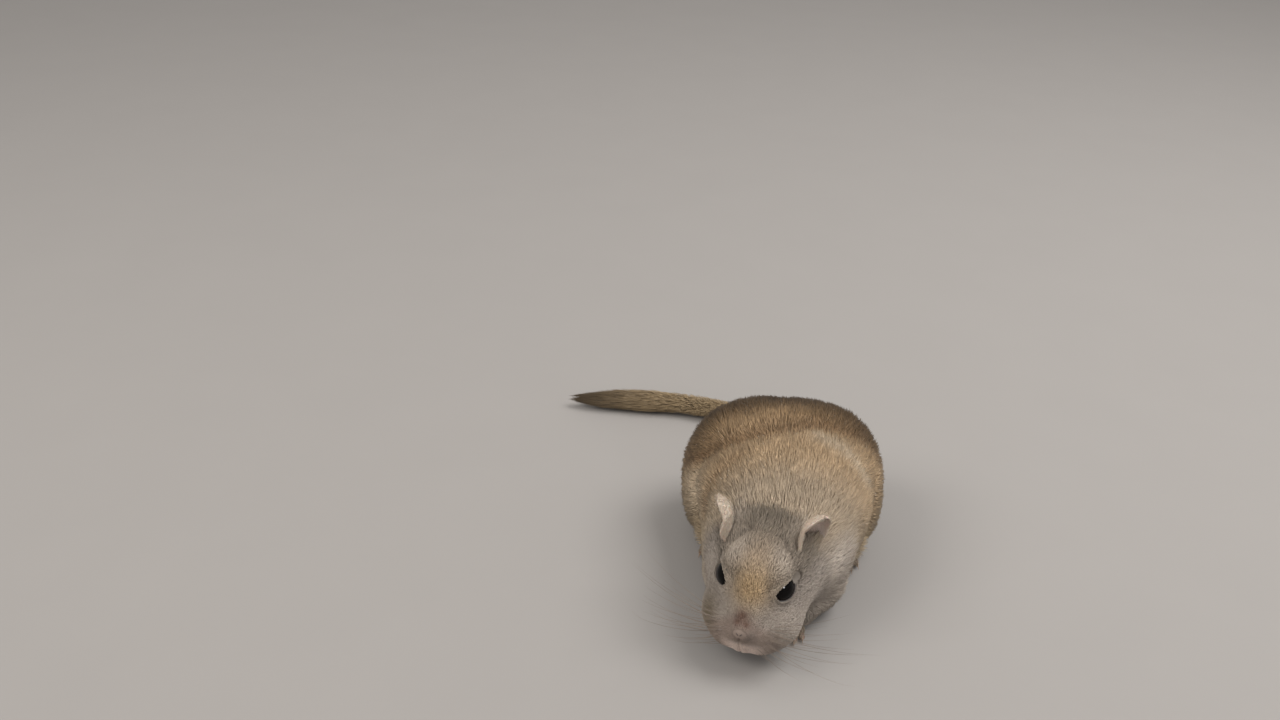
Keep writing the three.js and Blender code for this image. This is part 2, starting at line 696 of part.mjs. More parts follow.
function brushLock(ring, place) {
  const share = 0.8 + ring * 0.085;
  const around = ((place + (ring % 2) / 2) / locksInRing) * 2 * Math.PI;
  const way = new THREE.Vector3(...tailWay(share));
  const sideways = new THREE.Vector3(0, 0, 1).cross(way).normalize();
  const upward = way.clone().cross(sideways);
  const out = sideways.multiplyScalar(Math.cos(around)).addScaledVector(upward, Math.sin(around));
  const length = 12 + 2.2 * Math.sin(2.3 * place + 1.7 * ring);
  const core = tailRadius * (0.97 - 0.16 * ring);
  const along = (outwards, forwards) => {
    const spot = new THREE.Vector3(...spineAt(share))
      .addScaledVector(out, outwards)
      .addScaledVector(way, forwards);
    spot.z = Math.max(spot.z, 0.95);
    return spot.toArray();
  };
  const girth = (s) => [1.5 * (1.03 - s) ** 0.7, 0.8 * (1.03 - s) ** 0.7];
  const line = [along(core * 0.55, -1), along(core * 0.86, length * 0.45), along(core * 0.82, length)];
  return tube(line, girth, {
    sides: 5,
    steps: 4,
    up: out.toArray(),
  });
}

const lockRings = 3;
const locksInRing = 7;
const brushLocks = [];
for (let ring = 0; ring < lockRings; ring++)
  for (let place = 0; place < locksInRing; place++) brushLocks.push(brushLock(ring, place));
const brush = joined([brushCore, ...brushLocks]);

// Assembly
const gerbil = new THREE.Group();
const tailRoot = tube(
  [[0, 31, 13], tailPath[0], tailPath[1], tailPath[2]],
  (share) => [tailRadius * 1.03 + gap, tailRadius * 1.03 + gap],
  { sides: 12, steps: 6 },
);
const limbs = joined(
  bothSides((side) => [thigh(side, gap), arm(side, gap), foreFoot(side, gap)]),
);
const torso = trunk.intersect(beyond(stepAlong(collarSpot, collarWay, -gap), back(collarWay)));
const headRoom = headReach(gap).intersect(beyond(napeSpot, napeWay));
const neck = trunk.intersect(beyond(collarSpot, collarWay)).subtract(headRoom);

gerbil.add(nodeOf("torso", torso.subtract(limbs).subtract(tailRoot), fawn));
gerbil.add(nodeOf("neck", neck.subtract(limbs), fawn));
gerbil.add(nodeOf("head", headSolid, greyFawn));
for (const [side, name] of [[1, "left"], [-1, "right"]]) {
  gerbil.add(nodeOf(`eye_${name}`, eyeball(side), eyeBlack));
  gerbil.add(nodeOf(`ear_${name}`, ear(side).subtract(headGrown), pinkSkin));
  const foreleg = arm(side).subtract(headRoom).subtract(thigh(side, gap)).subtract(foreFoot(side, gap));
  gerbil.add(nodeOf(`foreleg_${name}`, foreleg, paleFur));
  gerbil.add(nodeOf(`forepaw_${name}`, foreFoot(side), pinkSkin));
  gerbil.add(nodeOf(`hindleg_${name}`, thigh(side).subtract(hindFoot(side, gap)), fawn));
  gerbil.add(nodeOf(`hindfoot_${name}`, hindFoot(side), pinkSkin));
}

gerbil.add(nodeOf("tail_base", wholeTail.intersect(beforeCut(tailCut[0])).intersect(floor), tailFur));
gerbil.add(
  nodeOf(
    "tail_middle",
    wholeTail.intersect(afterCut(tailCut[0], gap)).intersect(beforeCut(tailCut[1])).intersect(floor),
    tailFur,
  ),
);
gerbil.add(
  nodeOf("tail_tip", brush.intersect(afterCut(tailCut[1], gap)).intersect(floor), tailFur),
);

gerbil.position.copy(middle).negate();

export default gerbil;
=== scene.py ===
# %% [markdown]
# # A gerbil in a soft coat
# This scene dresses the solids of a crouching gerbil. The solids already hold its outline out to the tips
# of the coat. Here they get a skin that lies deeper by the depth of the fur, over a hundred thousand small
# tufts over that skin, wet black eyes between lids, thin ears, toes with claws, and whiskers. The first
# lines load the solids as a fixed frame, so that everything made later fits them without moving them.

# %% Load the frame
import math

import bmesh
import bpy
import numpy as np
from mathutils import Matrix, Vector
from mathutils.kdtree import KDTree


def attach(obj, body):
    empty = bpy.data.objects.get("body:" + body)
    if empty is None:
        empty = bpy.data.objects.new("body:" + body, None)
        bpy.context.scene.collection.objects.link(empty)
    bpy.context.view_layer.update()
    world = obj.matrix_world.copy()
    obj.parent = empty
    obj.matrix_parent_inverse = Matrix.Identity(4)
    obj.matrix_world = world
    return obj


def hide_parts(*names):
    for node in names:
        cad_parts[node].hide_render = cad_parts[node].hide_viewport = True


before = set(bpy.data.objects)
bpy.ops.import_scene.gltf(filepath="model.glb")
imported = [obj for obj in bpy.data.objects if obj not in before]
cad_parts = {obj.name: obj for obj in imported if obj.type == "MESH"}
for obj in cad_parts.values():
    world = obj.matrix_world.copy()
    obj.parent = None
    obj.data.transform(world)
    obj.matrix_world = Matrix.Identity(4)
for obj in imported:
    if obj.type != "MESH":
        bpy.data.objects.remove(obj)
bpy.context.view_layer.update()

# %% [markdown]
# ## The camera
# The animal is seen from in front and above, with its nose towards the viewer. A camera object looks along
# its own -Z axis, so its turn is built from three directions: right, up, and back towards the viewer. The
# lens is in millimetres on a 36 mm wide sensor, which is Blender's own default.

# %% Camera
VIEW_AZIMUTH = math.radians(3.75)  # from straight in front, towards the animal's left
VIEW_ELEVATION = math.radians(30.39)
VIEW_ROLL = math.radians(1.64)
VIEW_PLACE = Vector((-0.00456, -0.28523, 0.2239))
SENSOR_WIDTH = 36.0
LENS = 32.34

back = Vector((math.sin(VIEW_AZIMUTH) * math.cos(VIEW_ELEVATION),
               -math.cos(VIEW_AZIMUTH) * math.cos(VIEW_ELEVATION),
               math.sin(VIEW_ELEVATION)))
level = Vector((math.cos(VIEW_AZIMUTH), math.sin(VIEW_AZIMUTH), 0))
upward = back.cross(level)
right = math.cos(VIEW_ROLL) * level + math.sin(VIEW_ROLL) * upward
camera = bpy.data.objects.new("camera", bpy.data.cameras.new("camera"))
bpy.context.scene.collection.objects.link(camera)
camera.data.sensor_width = SENSOR_WIDTH
camera.data.lens = LENS
camera.data.clip_start = 0.01
axes = Matrix((right, back.cross(right), back)).transposed().to_4x4()
camera.matrix_world = Matrix.Translation(VIEW_PLACE) @ axes
bpy.context.scene.camera = camera
print("camera at", tuple(round(v, 3) for v in camera.location))

# %% [markdown]
# ## Working in millimetres
# Blender's unit here is the metre, which is clumsy for an animal of a few centimetres. All shapes below are
# worked out in millimetres, in the animal's own measure: +X is its left, it faces -Y, and Z = 0 is the
# floor. One function turns such points into the frame's metres at the very end, when a mesh is made.

# %% Measures of the animal
MIDDLE = np.array((-20.743, 22.424, 0.0))  # the point in this measure that is the frame's origin
HAUNCH_WIDTH = 60.0
BACK_HEIGHT = 44.5
CHEST_WIDTH = 42.0
HEAD_WIDTH = 25.0
EAR_LENGTH = 12.2
EAR_WIDTH = 9.8
EYE_RADIUS = 3.7
TAIL_RADIUS = 4.5
SIDES = (("left", 1), ("right", -1))
rng = np.random.default_rng(41)


def to_frame(points):
    return (np.asarray(points, float) - MIDDLE) * 0.001


def from_frame(points):
    return np.asarray(points, float) * 1000 + MIDDLE


def unit(v):
    v = np.asarray(v, float)
    return v / np.maximum(np.linalg.norm(v, axis=-1, keepdims=True), 1e-9)


def turn_about(axis, degrees):
    return np.array(Matrix.Rotation(math.radians(degrees), 3, axis))


HEAD_CENTRE = np.array((-6.6, -23.6, 21.5))
HEAD_TURN = turn_about("Z", -17) @ turn_about("X", 15)  # nose down, and towards its own right


def in_head(points):
    return np.asarray(points, float) @ HEAD_TURN.T + HEAD_CENTRE


def head_way(*way):
    return unit(np.array(way, float) @ HEAD_TURN.T)


def to_head(points):
    return (points - HEAD_CENTRE) @ HEAD_TURN


def bend(y):
    """The forequarters curve towards the animal's right."""
    ahead = max(5 - y, 0)
    return -0.1 * ahead - 0.003 * ahead**2


print("head centre in the frame:", to_frame(HEAD_CENTRE).round(4))

# %% [markdown]
# ## Forms of the flesh
# A body is easiest to describe as soft forms that melt together. Each form below is a function that says
# how far a point is from its surface, and is negative inside. `blended` takes the nearer of two distances
# and rounds the place where they meet, as flesh does. The same few balls and limbs shaped the solids, so a
# surface drawn from them at a chosen depth lies evenly under the coat.

# %% Distance forms
def ball(centre, radii):
    c, r = np.array(centre, float), np.array(radii, float)

    def form(p):
        q = (p - c) / r
        k0 = np.linalg.norm(q, axis=1)
        k1 = np.linalg.norm(q / r, axis=1)
        return k0 * (k0 - 1) / np.maximum(k1, 1e-9)

    return form


def limb(a, b, ra, rb):
    a, b = np.array(a, float), np.array(b, float)
    d = b - a
    l2, rr = d @ d, ra - rb
    a2 = l2 - rr * rr

    def form(p):
        q = p - a
        along = q @ d
        past = along - l2
        x2 = ((q * l2 - along[:, None] * d) ** 2).sum(1)
        y2, z2 = along * along * l2, past * past * l2
        k = np.sign(rr) * rr * rr * x2
        near = np.sqrt(x2 + y2) / l2 - ra
        far = np.sqrt(x2 + z2) / l2 - rb
        between = (np.sqrt(x2 * a2 / l2) + along * rr) / l2 - ra
        closer = np.where(np.sign(along) * a2 * y2 < k, near, between)
        return np.where(np.sign(past) * a2 * z2 > k, far, closer)

    return form


def blended(first, *others):
    def form(p):
        d = first(p)
        for other, blend in others:
            e = other(p)
            h = np.maximum(blend - np.abs(d - e), 0) / blend
            d = np.minimum(d, e) - h * h * blend / 4
        return d

    return form


def gap_squared(p, line):
    """The square of each point's distance from a line of places."""
    line, near = np.array(line, float), np.full(len(p), np.inf)
    for a, b in zip(line[:-1], line[1:]):
        along = np.clip((p - a) @ (b - a) / ((b - a) @ (b - a)), 0, 1)
        near = np.minimum(near, ((p - a - along[:, None] * (b - a)) ** 2).sum(1))
    return near


def creased(form, line, deep, wide):
    """Lowers a form in a soft valley along a line of places."""
    return lambda p: form(p) + deep * np.exp(-gap_squared(p, line) / wide**2)


def slope(form, p, h=0.05):
    corners = np.array(((1, -1, -1), (-1, -1, 1), (-1, 1, -1), (1, 1, 1)), float)
    return sum(k * form(p + h * k)[:, None] for k in corners) / (4 * h)


def settle(points, form, depth=0.0, turns=3):
    """Moves points onto the surface that lies that deep under a form."""
    p = np.array(points, float)
    for _ in range(turns):
        g = slope(form, p)
        p -= ((form(p) + depth) / np.maximum((g * g).sum(1), 0.1))[:, None] * g
    return p


def ramp(x, low, high):
    """0 below low, 1 above high, and an even curve between them. low may be the larger."""
    t = np.clip((x - low) / (high - low), 0, 1)
    return t * t * (3 - 2 * t)


print("3 mm from the middle of a 1 mm ball:", ball((0, 0, 0), (1, 1, 1))(np.array([[3.0, 0, 0]])), "mm away")


# %% The gerbil's forms
skull_parts = [(limb((0, -5, -0.6), (0, -14.4, -4), 8.8, 6), 5)]
for _, side in SIDES:
    skull_parts += [
        (ball((side * 6.7, -2.2, -4.8), (HEAD_WIDTH / 2 - 6.2, 9.2, 7.2)), 6),
        (ball((side * 7.5, -9.4, -7.4), (6.2, 8.2, 6.2)), 4),
        (ball((side * 5.8, -4.6, 5.3), (4.2, 4.9, 4.3)), 2),
        (ball((side * 4.2, -14.8, -7.7), (5.2, 5.7, 5.0)), 3),
    ]
skull_parts += [
    (ball((0, -15.6, -8.4), (3.6, 4.5, 4.4)), 2.5),
    (limb((0, -3, -7.6), (0, -12.8, -10.2), 6.4, 3.2), 3),
    (ball((0, -18.9, -2.2), (2.4, 1.9, 1.9)), 1.8),
]
skull = blended(ball((0, 2, 0.5), (HEAD_WIDTH * 0.46, 13.2, 11)), *skull_parts)


def head_form(p):
    return skull(to_head(p))


def leg_form(side):
    thigh = ball((side * (HAUNCH_WIDTH / 2 - 9.4), 20, 16), (9.4, 16, 15))
    return blended(thigh, (limb((side * 18.5, 6, 9), (side * 17.6, 27, 5.5), 6, 4.2), 4))


def fore_foot_x(side):
    return bend(-22) + side * 9.4


def arm_form(side):
    shoulder = ball((bend(-11) + side * 12.4, -11, 15), (7.8, 10.5, 12.5))
    wider = 1 if side > 0 else 0
    elbow = (bend(-13) + side * 12.5 + wider, -13.5, 9)
    wrist = (fore_foot_x(side) + wider, -20.8, 5)
    return blended(shoulder, (limb(elbow, wrist, 6.3, 4.1), 4))


trunk_parts = [
    (ball((side * 10, 24, BACK_HEIGHT * 0.475), (HAUNCH_WIDTH / 2 - 11, 17.5, BACK_HEIGHT * 0.435)), 6)
    for _, side in SIDES
]
trunk_parts += [
    (ball((0, 5, BACK_HEIGHT * 0.515), (HAUNCH_WIDTH * 0.415, 22, BACK_HEIGHT * 0.46)), 8),
    (ball((bend(-10), -10, BACK_HEIGHT * 0.43), (CHEST_WIDTH * 0.47, 17, BACK_HEIGHT * 0.385)), 10),
    (limb((bend(-12), -12, 20.5), (bend(-21), -20.5, 21.5), 15.5, 12.4), 9),
    (head_form, 5),
]
rump = ball((0, 20, BACK_HEIGHT * 0.515), (HAUNCH_WIDTH * 0.44, 21, BACK_HEIGHT * 0.485))
trunk = blended(rump, *trunk_parts)
BACK_CREASE = ((-28.4, 16, 25.6), (-19.5, 8.8, 37.3), (-10.5, 7.3, 42.4), (-1.2, 9.2, 44.4),
               (8.4, 12.8, 43.7), (16, 15.9, 41), (24.2, 20.5, 35.1))
RIB_CREASE = ((-12.6, -0.8, 40), (-19.2, -1.7, 35), (-22.1, -4.2, 30.3), (-23.1, -9.4, 25.5))
trunk = creased(creased(trunk, BACK_CREASE, 1.8, 4.2), RIB_CREASE, 0.8, 2.4)
limb_parts = [(leg_form(side), 2.5) for _, side in SIDES] + [(arm_form(side), 2.5) for _, side in SIDES]
flesh_form = blended(trunk, *limb_parts)
print("depth of the trunk's middle:", flesh_form(np.array([[0.0, 10, 22]])).round(1), "mm")

# %% [markdown]
# ## How deep the coat is
# Fur is deepest on the back and neck, about 2.5 mm when it lies flat, and thins over the cheeks to almost
# nothing on the nose. The skin is sunk by that depth and the tufts later rise by it, so both use one
# function.

# %% Coat depth
def coat_depth(p):
    along = to_head(p)[:, 1]
    deep = np.interp(along, (-20, -17, -12, -5, 3, 11), (0.12, 0.4, 0.75, 1.1, 1.7, 2.5))
    return deep * np.interp(p[:, 2], (1, 7, 14), (0.5, 0.75, 1.0))


nose_cheek_nape = in_head([(0, -20, -2), (9, -5, -5), (0, 11, 8)])
print("coat on nose, cheek and nape:", coat_depth(nose_cheek_nape).round(2), "mm")


# %% [markdown]
# ## One skin
# A voxel remesh melts several closed solids into one even surface, like snow settling over them. The solids
# keep a hair's breadth between them, so they are swollen a little first. Then every point of the new
# surface is settled at its depth under the forms, which also takes the facets out.

# %% Meshes from arrays
def object_from(name, mesh):
    made = bpy.data.objects.new(name, mesh)
    bpy.context.scene.collection.objects.link(made)
    return made


def evaluated_mesh(made):
    """The object's mesh with its modifiers applied. The modifiers are removed."""
    graph = bpy.context.evaluated_depsgraph_get()
    mesh = bpy.data.meshes.new_from_object(made.evaluated_get(graph), depsgraph=graph)
    made.modifiers.clear()
    return mesh


def points_of(mesh):
    co = np.zeros(len(mesh.vertices) * 3, np.float32)
    mesh.vertices.foreach_get("co", co)
    return from_frame(co.reshape(-1, 3))


def set_points(mesh, points):
    mesh.vertices.foreach_set("co", to_frame(points).astype(np.float32).ravel())
    mesh.update()


def smooth_shaded(mesh):
    mesh.polygons.foreach_set("use_smooth", np.ones(len(mesh.polygons), bool))
    mesh.update()


def remeshed(mesh, voxel):
    """One even closed surface round everything in a mesh. voxel is in mm."""
    made = object_from("remesh", mesh)
    melt = made.modifiers.new("melt", "REMESH")
    melt.mode = "VOXEL"
    melt.voxel_size = voxel * 0.001
    result = evaluated_mesh(made)
    bpy.data.objects.remove(made)
    return result


# %% Skin of head and body
GAP = 0.3  # mm between neighbouring solids
SWELL = 0.0009  # m for each mm of that gap, so that neighbours come to overlap
FIRST_VOXEL, SECOND_VOXEL = 0.9, 0.62
bm = bmesh.new()
for name in ("torso", "neck", "head", "foreleg_left", "foreleg_right", "hindleg_left", "hindleg_right"):
    bm.from_mesh(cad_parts[name].data)
bmesh.ops.remove_doubles(bm, verts=bm.verts, dist=1e-6)
bm.normal_update()
for v in bm.verts:
    v.co += v.normal * GAP * SWELL
swollen = bpy.data.meshes.new("swollen")
bm.to_mesh(swollen)
bm.free()

body_mesh = remeshed(swollen, FIRST_VOXEL)
set_points(body_mesh, settle(points_of(body_mesh), flesh_form, coat_depth(points_of(body_mesh))))
body_mesh = remeshed(body_mesh, SECOND_VOXEL)
print("skin:", len(body_mesh.vertices), "points")


# %% [markdown]
# ## Folds of the face
# Close round the eyes, nose and mouth the fur is too short to hide the skin, so the skin itself carries the
# folds. The head's faces are split once more for that. A fold is a line of points on the skin, and every
# skin point near it moves in or out by a bell curve of its distance. The sockets are pressed back under the
# eyes.

# %% Finer skin on the head
def points_and_normals(mesh):
    normals = np.zeros(len(mesh.vertices) * 3, np.float32)
    mesh.vertices.foreach_get("normal", normals)
    return points_of(mesh), normals.reshape(-1, 3).astype(float)


def refine(mesh, chosen):
    """Splits the faces whose points are chosen into four."""
    bm = bmesh.new()
    bm.from_mesh(mesh)
    edges = [e for e in bm.edges if chosen[e.verts[0].index] and chosen[e.verts[1].index]]
    bmesh.ops.subdivide_edges(bm, edges=edges, cuts=1, use_grid_fill=True)
    bm.to_mesh(mesh)
    bm.free()


points = points_of(body_mesh)
refine(body_mesh, (to_head(points)[:, 1] < 1) & (head_form(points) < 1))
points = points_of(body_mesh)
set_points(body_mesh, settle(points, flesh_form, coat_depth(points)))
print("skin with a finer head:", len(body_mesh.vertices), "points")


# %% Eyes: where they sit and which way they look
def eye_place(side):
    return in_head((side * 6.75, -6.6, 3.3))


def eye_axes(side):
    """Outwards, towards the nose, and up, at right angles to each other."""
    out = head_way(side * 0.83, -0.36, 0.42)
    front = head_way(0, -1, 0)
    front = unit(front - out * (front @ out))
    up = np.cross(front, out) * side
    return out, front, up


print("eyes:", [to_frame(eye_place(side)).round(4) for _, side in SIDES])
OPENING_LENGTH, OPENING_HEIGHT = 3.6, 2.75  # half measures of the opening between the lids
REAR_CORNER = 1.22  # how much further the back corner reaches
REAR_CROWDING = 0.5  # how much closer the rows round the opening lie behind that corner


def crowding(cosine):
    """How far apart the rows round the opening lie: 1, and less towards the back corner, at cosine -1."""
    return 1 - REAR_CROWDING * np.clip(-cosine, 0, 1)


def opening_share(p, side):
    """0 in the middle of the opening between the lids, 1 on its edge, and more outside it."""
    out, front, up = eye_axes(side)
    offset = p - eye_place(side)
    a, b = offset @ front, offset @ up
    a = np.where(a < 0, a / REAR_CORNER, a) / OPENING_LENGTH
    b = b / (OPENING_HEIGHT * (0.74 + 0.26 * np.clip(a, -1, 1)))
    share = np.hypot(a, b)
    share = np.where(share > 1, 1 + (share - 1) / crowding(a / np.maximum(share, 0.01)), share)
    return share + 9 * ramp(offset @ out, -1.6, -3.0)


# %% Press the folds in
def along_line(points, steps=24):
    """Points spaced along straight lines from one point to the next."""
    p = np.array(points, float)
    t = np.linspace(0, len(p) - 1, steps * (len(p) - 1) + 1)
    return np.stack([np.interp(t, np.arange(len(p)), p[:, axis]) for axis in range(3)], 1)


def distance_to(points, line):
    return np.sqrt(((points[:, None] - line[None]) ** 2).sum(2).min(1))


MOUTH = ((0, -17.6, -10.3), (2.6, -15.9, -10.7), (5.2, -12.8, -10.3), (6.8, -9.4, -9.0))
PHILTRUM = ((0, -20.6, -3.9), (0, -20.5, -7.2), (0, -18.6, -9.8))
BROW_FOLD = ((4.6, 1.2, 12.3), (7.6, -0.8, 10.8), (9.8, -1.9, 9.0), (10.8, -4.2, 7.0))


def mirrored(line, side):
    return np.array(line, float) * (side, 1, 1)


def on_skin(line):
    line = settle(in_head(along_line(line)), flesh_form)
    return settle(line, flesh_form, coat_depth(line))


points, normals = points_and_normals(body_mesh)
face = np.flatnonzero((to_head(points)[:, 1] < 6) & (head_form(points) < 1))
face_points, push = points[face], np.zeros(len(face))
folds = [(PHILTRUM, 0.5, 0.45)]
for _, side in SIDES:
    folds += [(mirrored(MOUTH, side), 0.7, 0.45), (mirrored(BROW_FOLD, side), 0.5, 1.3)]
for line, deep, wide in folds:
    push -= deep * np.exp(-(distance_to(face_points, on_skin(line)) / wide) ** 2)
lip = distance_to(face_points, np.vstack([on_skin(mirrored(MOUTH, side)) for _, side in SIDES]))
push += 0.3 * np.exp(-((lip - 1.1) / 0.5) ** 2)
points[face] += normals[face] * push[:, None]

SOCKET = EYE_RADIUS - 0.6
for _, side in SIDES:
    offset = points - eye_place(side)
    near = ramp(np.linalg.norm(offset, axis=1), 6.8, 5.2)
    pressed = ramp(opening_share(points, side), 1.6, 1.25) * near
    points += (unit(offset) * SOCKET - offset) * pressed[:, None]
set_points(body_mesh, points)
print("folds pressed into", len(face), "points")

# %% [markdown]
# ## Markings
# Fur and skin share one set of markings, worked out from where a point lies on the body: a warm fawn back,
# greyer flanks and shoulders, a paler belly, pale domes over the eyes, a tan bridge, a mauve-grey snout
# with a rusty stain on the nose, and a browner tail. Each is a soft spot or band of one colour laid over
# the last. Colours are given in display values, and turned into linear light for the shader.
# Some layers are painted light, not markings: painted shade on the lower flanks, on the rear and top edge
# of the rump and down the creases of back, ribs and brow, a painted shadow on the lower right cheek, and
# painted highlights on the rib dome, the right flank and the left shoulder. The browner rump is partly
# the coat's own colour and partly painted shade.

# %% Palette
def paint(red, green, blue):
    c = np.array((red, green, blue)) / 255
    return np.where(c <= 0.04045, c / 12.92, ((c + 0.055) / 1.055) ** 2.4)


FAWN = paint(182, 156, 124)
GOLD = paint(182, 148, 106)
GREY_FAWN = paint(174, 159, 140)
# painted shade: a darker fawn for the lower flanks and the rear of the rump
FAWN_PAINTED_SHADE = paint(152, 136, 112)
CREAM = paint(205, 193, 175)
CROWN_GREY = paint(112, 103, 92)
BROW_PALE = paint(178, 165, 151)
TAN = paint(186, 160, 125)
FOREHEAD = paint(182, 162, 140)
CHEEK_GREY = paint(168, 157, 147)
SNOUT_MAUVE = paint(150, 132, 121)
# painted shadow: a dark olive for the lower cheek on the animal's right
CHEEK_PAINTED_SHADE = paint(112, 98, 72)
# painted highlight: a pale tone for the lit top of the left shoulder
SHOULDER_PAINTED_HIGHLIGHT = paint(204, 192, 180)
# painted shade: a dark brown for the top edge of the rump, where it turns away from the light
RUMP_EDGE_PAINTED_SHADE = paint(86, 67, 45)
LIP_PALE = paint(238, 218, 206)
RUST = paint(112, 84, 70)
# painted shade: a dark grey for the fold behind each brow
FOLD_PAINTED_SHADE = paint(106, 94, 84)
# painted shade: a dark brown laid down the creases of back and ribs
CREASE_PAINTED_SHADE = paint(118, 92, 64)
# painted highlight: a pale tone for the lit edge of the rib dome and the right flank
PAINTED_HIGHLIGHT_PALE = paint(206, 190, 168)
# a darker brown over the rump: partly the coat's own colour, partly painted shade
RUMP_BROWN_AND_SHADE = paint(118, 96, 68)
TAIL_BROWN = paint(164, 143, 112)
BRUSH_DARK = paint(84, 71, 57)
LIMB_PALE = paint(176, 162, 142)
SKIN_PINK = paint(196, 156, 142)
print("the fawn of the back in linear light:", FAWN.round(3))


# %% Marking function
def spot(h, centre, radii):
    return np.exp(-(((h - centre) / radii) ** 2).sum(1))


def waves(p, size, seed):
    """A smooth, wandering value from about -1 to 1, as wide as size."""
    turn = np.random.default_rng(seed)
    total = 0
    for _ in range(5):
        way = unit(turn.normal(size=3)) * 2 * np.pi / (size * turn.uniform(0.7, 1.4))
        total = total + np.sin(p @ way + turn.uniform(0, 6.28))
    return total / 3


def nearness(p, line, wide):
    """1 on the skin under a line of places and 0 far from it."""
    line = np.array(line, float)
    return np.exp(-gap_squared(p, settle(line, flesh_form, coat_depth(line))) / wide**2)


RIB_RIM = ((8.1, 6.4, 43), (14, 4.6, 40.6), (17.6, 3.5, 37.7), (21.3, 1, 32.9))


def coat_colour(p):
    """The colour of the fur that grows at each point, with painted shade and painted highlights laid in."""
    h = to_head(p)
    tail = ramp(p[:, 1], 39, 45)
    colour = np.tile(FAWN, (len(p), 1))

    def lay(shade, weight):
        nonlocal colour
        colour = colour + (shade - colour) * np.clip(weight, 0, 1)[:, None]

    lay(GOLD, ramp(p[:, 1], 6, 22) * ramp(p[:, 2], 24, 40) * 0.8)
    # darker brown over the rump, partly the coat's own colour and partly painted shade
    lay(RUMP_BROWN_AND_SHADE, ramp(p[:, 1], 9, 18) * ramp(p[:, 2], 22, 34) * 0.6)
    lay(GREY_FAWN, ramp(p[:, 1], 2, -16) * 0.8)
    # painted shade: the flanks darken lower down
    lay(FAWN_PAINTED_SHADE, ramp(p[:, 2], 30, 12) * 0.7)
    # painted highlight along the edge of the rib dome, and a lighter patch on the animal's right flank
    lay(PAINTED_HIGHLIGHT_PALE, 0.6 * nearness(p, RIB_RIM, 3.0))
    lay(PAINTED_HIGHLIGHT_PALE, 0.9 * spot(p, (-25.5, 4, 23), (5, 8, 9)))
    # painted shade down the creases of back and ribs
    lay(CREASE_PAINTED_SHADE, 0.8 * nearness(p, BACK_CREASE, 3.4))
    lay(CREASE_PAINTED_SHADE, 0.45 * nearness(p, RIB_CREASE, 1.8))
    lay(CREAM, ramp(p[:, 2], 11, 5) * 0.9)
    lay(CHEEK_GREY, 0.85 * ramp(p[:, 1], -11, -18) * ramp(p[:, 2], 30, 22))
    in_front = ramp(h[:, 1], 10.5, 7) * ramp(head_form(p), 3.0, 0.5)
    lay(CROWN_GREY, in_front * 0.88)
    lay(CHEEK_GREY, in_front * ramp(h[:, 2], 7, 1) * 0.9)
    # painted highlight on the top of the left shoulder
    lay(SHOULDER_PAINTED_HIGHLIGHT, 0.9 * spot(p, (12.8, -22.8, 23), (4.5, 5, 5.5)))
    lay(FOREHEAD, spot(h, (0, -6.5, 10.5), (5.5, 5.0, 5)))
    for _, side in SIDES:
        lay(BROW_PALE, spot(h, (side * 6.9, -4.0, 9.6), (3.9, 4.2, 4.0)) * 1.1)
        # painted shade along the fold behind each brow
        fold = distance_to(p, in_head(along_line(mirrored(BROW_FOLD, side), 4)))
        lay(FOLD_PAINTED_SHADE, 0.7 * np.exp(-((fold / 1.5) ** 2)))
        lay(BROW_PALE, 1.2 * spot(h, (side * 8.6, 5.2, 11.4), (2.4, 4.2, 3.6)))
        lay(BROW_PALE, 0.8 * spot(h, (side * 5.6, -11.4, 4.6), (1.5, 2.6, 2.4)))
    lay(TAN, 1.1 * spot(h, (0.3, -12.2, 5.6), (4.5, 5.6, 5.0)))
    lay(SNOUT_MAUVE, ramp(h[:, 1], -15.8, -18.6) * 0.8)
    on_lip = ramp(h[:, 1], -13, -17) * ramp(np.abs(h[:, 0] - 1), 7.5, 2) * ramp(h[:, 2], -4.6, -7)
    lay(LIP_PALE, 0.86 * on_lip)
    # painted shadow on the lower cheek of the animal's right side
    lay(CHEEK_PAINTED_SHADE, 0.75 * spot(h, (-10, -15.6, -4.4), (2.6, 5, 4.5)))
    lay(RUST, 0.95 * spot(h, (-0.4, -17.4, 1.0), (1.7, 1.8, 1.5)))
    for x in (-1.1, 1.1):
        lay(RUST, 0.9 * spot(h, (x, -18.8, 0.1), (0.9, 0.9, 0.9)))
    # painted shade on the top edge of the rump, where it turns away from the light
    lay(RUMP_EDGE_PAINTED_SHADE, ramp(p[:, 1], 13, 24) * ramp(p[:, 1], 36, 25) * ramp(p[:, 2], 20, 34) * 0.95)
    # painted shade on the rear of the rump, where it turns away from the light
    lay(FAWN_PAINTED_SHADE, ramp(p[:, 1], 25, 36) * 0.7)
    lay(TAIL_BROWN, tail)
    lay(BRUSH_DARK, tail * ramp(p[:, 0], -34, -62) * 0.85)
    mottle = 1 + 0.06 * waves(p, 9, 3) + 0.05 * waves(p, 3.5, 4)
    return np.clip(colour * mottle[:, None], 0.01, 0.95)


back_colour, snout_colour = coat_colour(np.vstack([(0.0, 5, 44), in_head((0.0, -20, -2))]))
print("back:", back_colour.round(2), "snout:", snout_colour.round(2))

# %% [markdown]
# ## Materials
# Each finish is a short chain of nodes in front of one Principled shader. Colour comes from an attribute
# that the mesh carries, with a fine noise for the mottling, and a bump gives the grain. Noise reads Object
# coordinates, because every piece sits at the origin and so the pattern stays put.

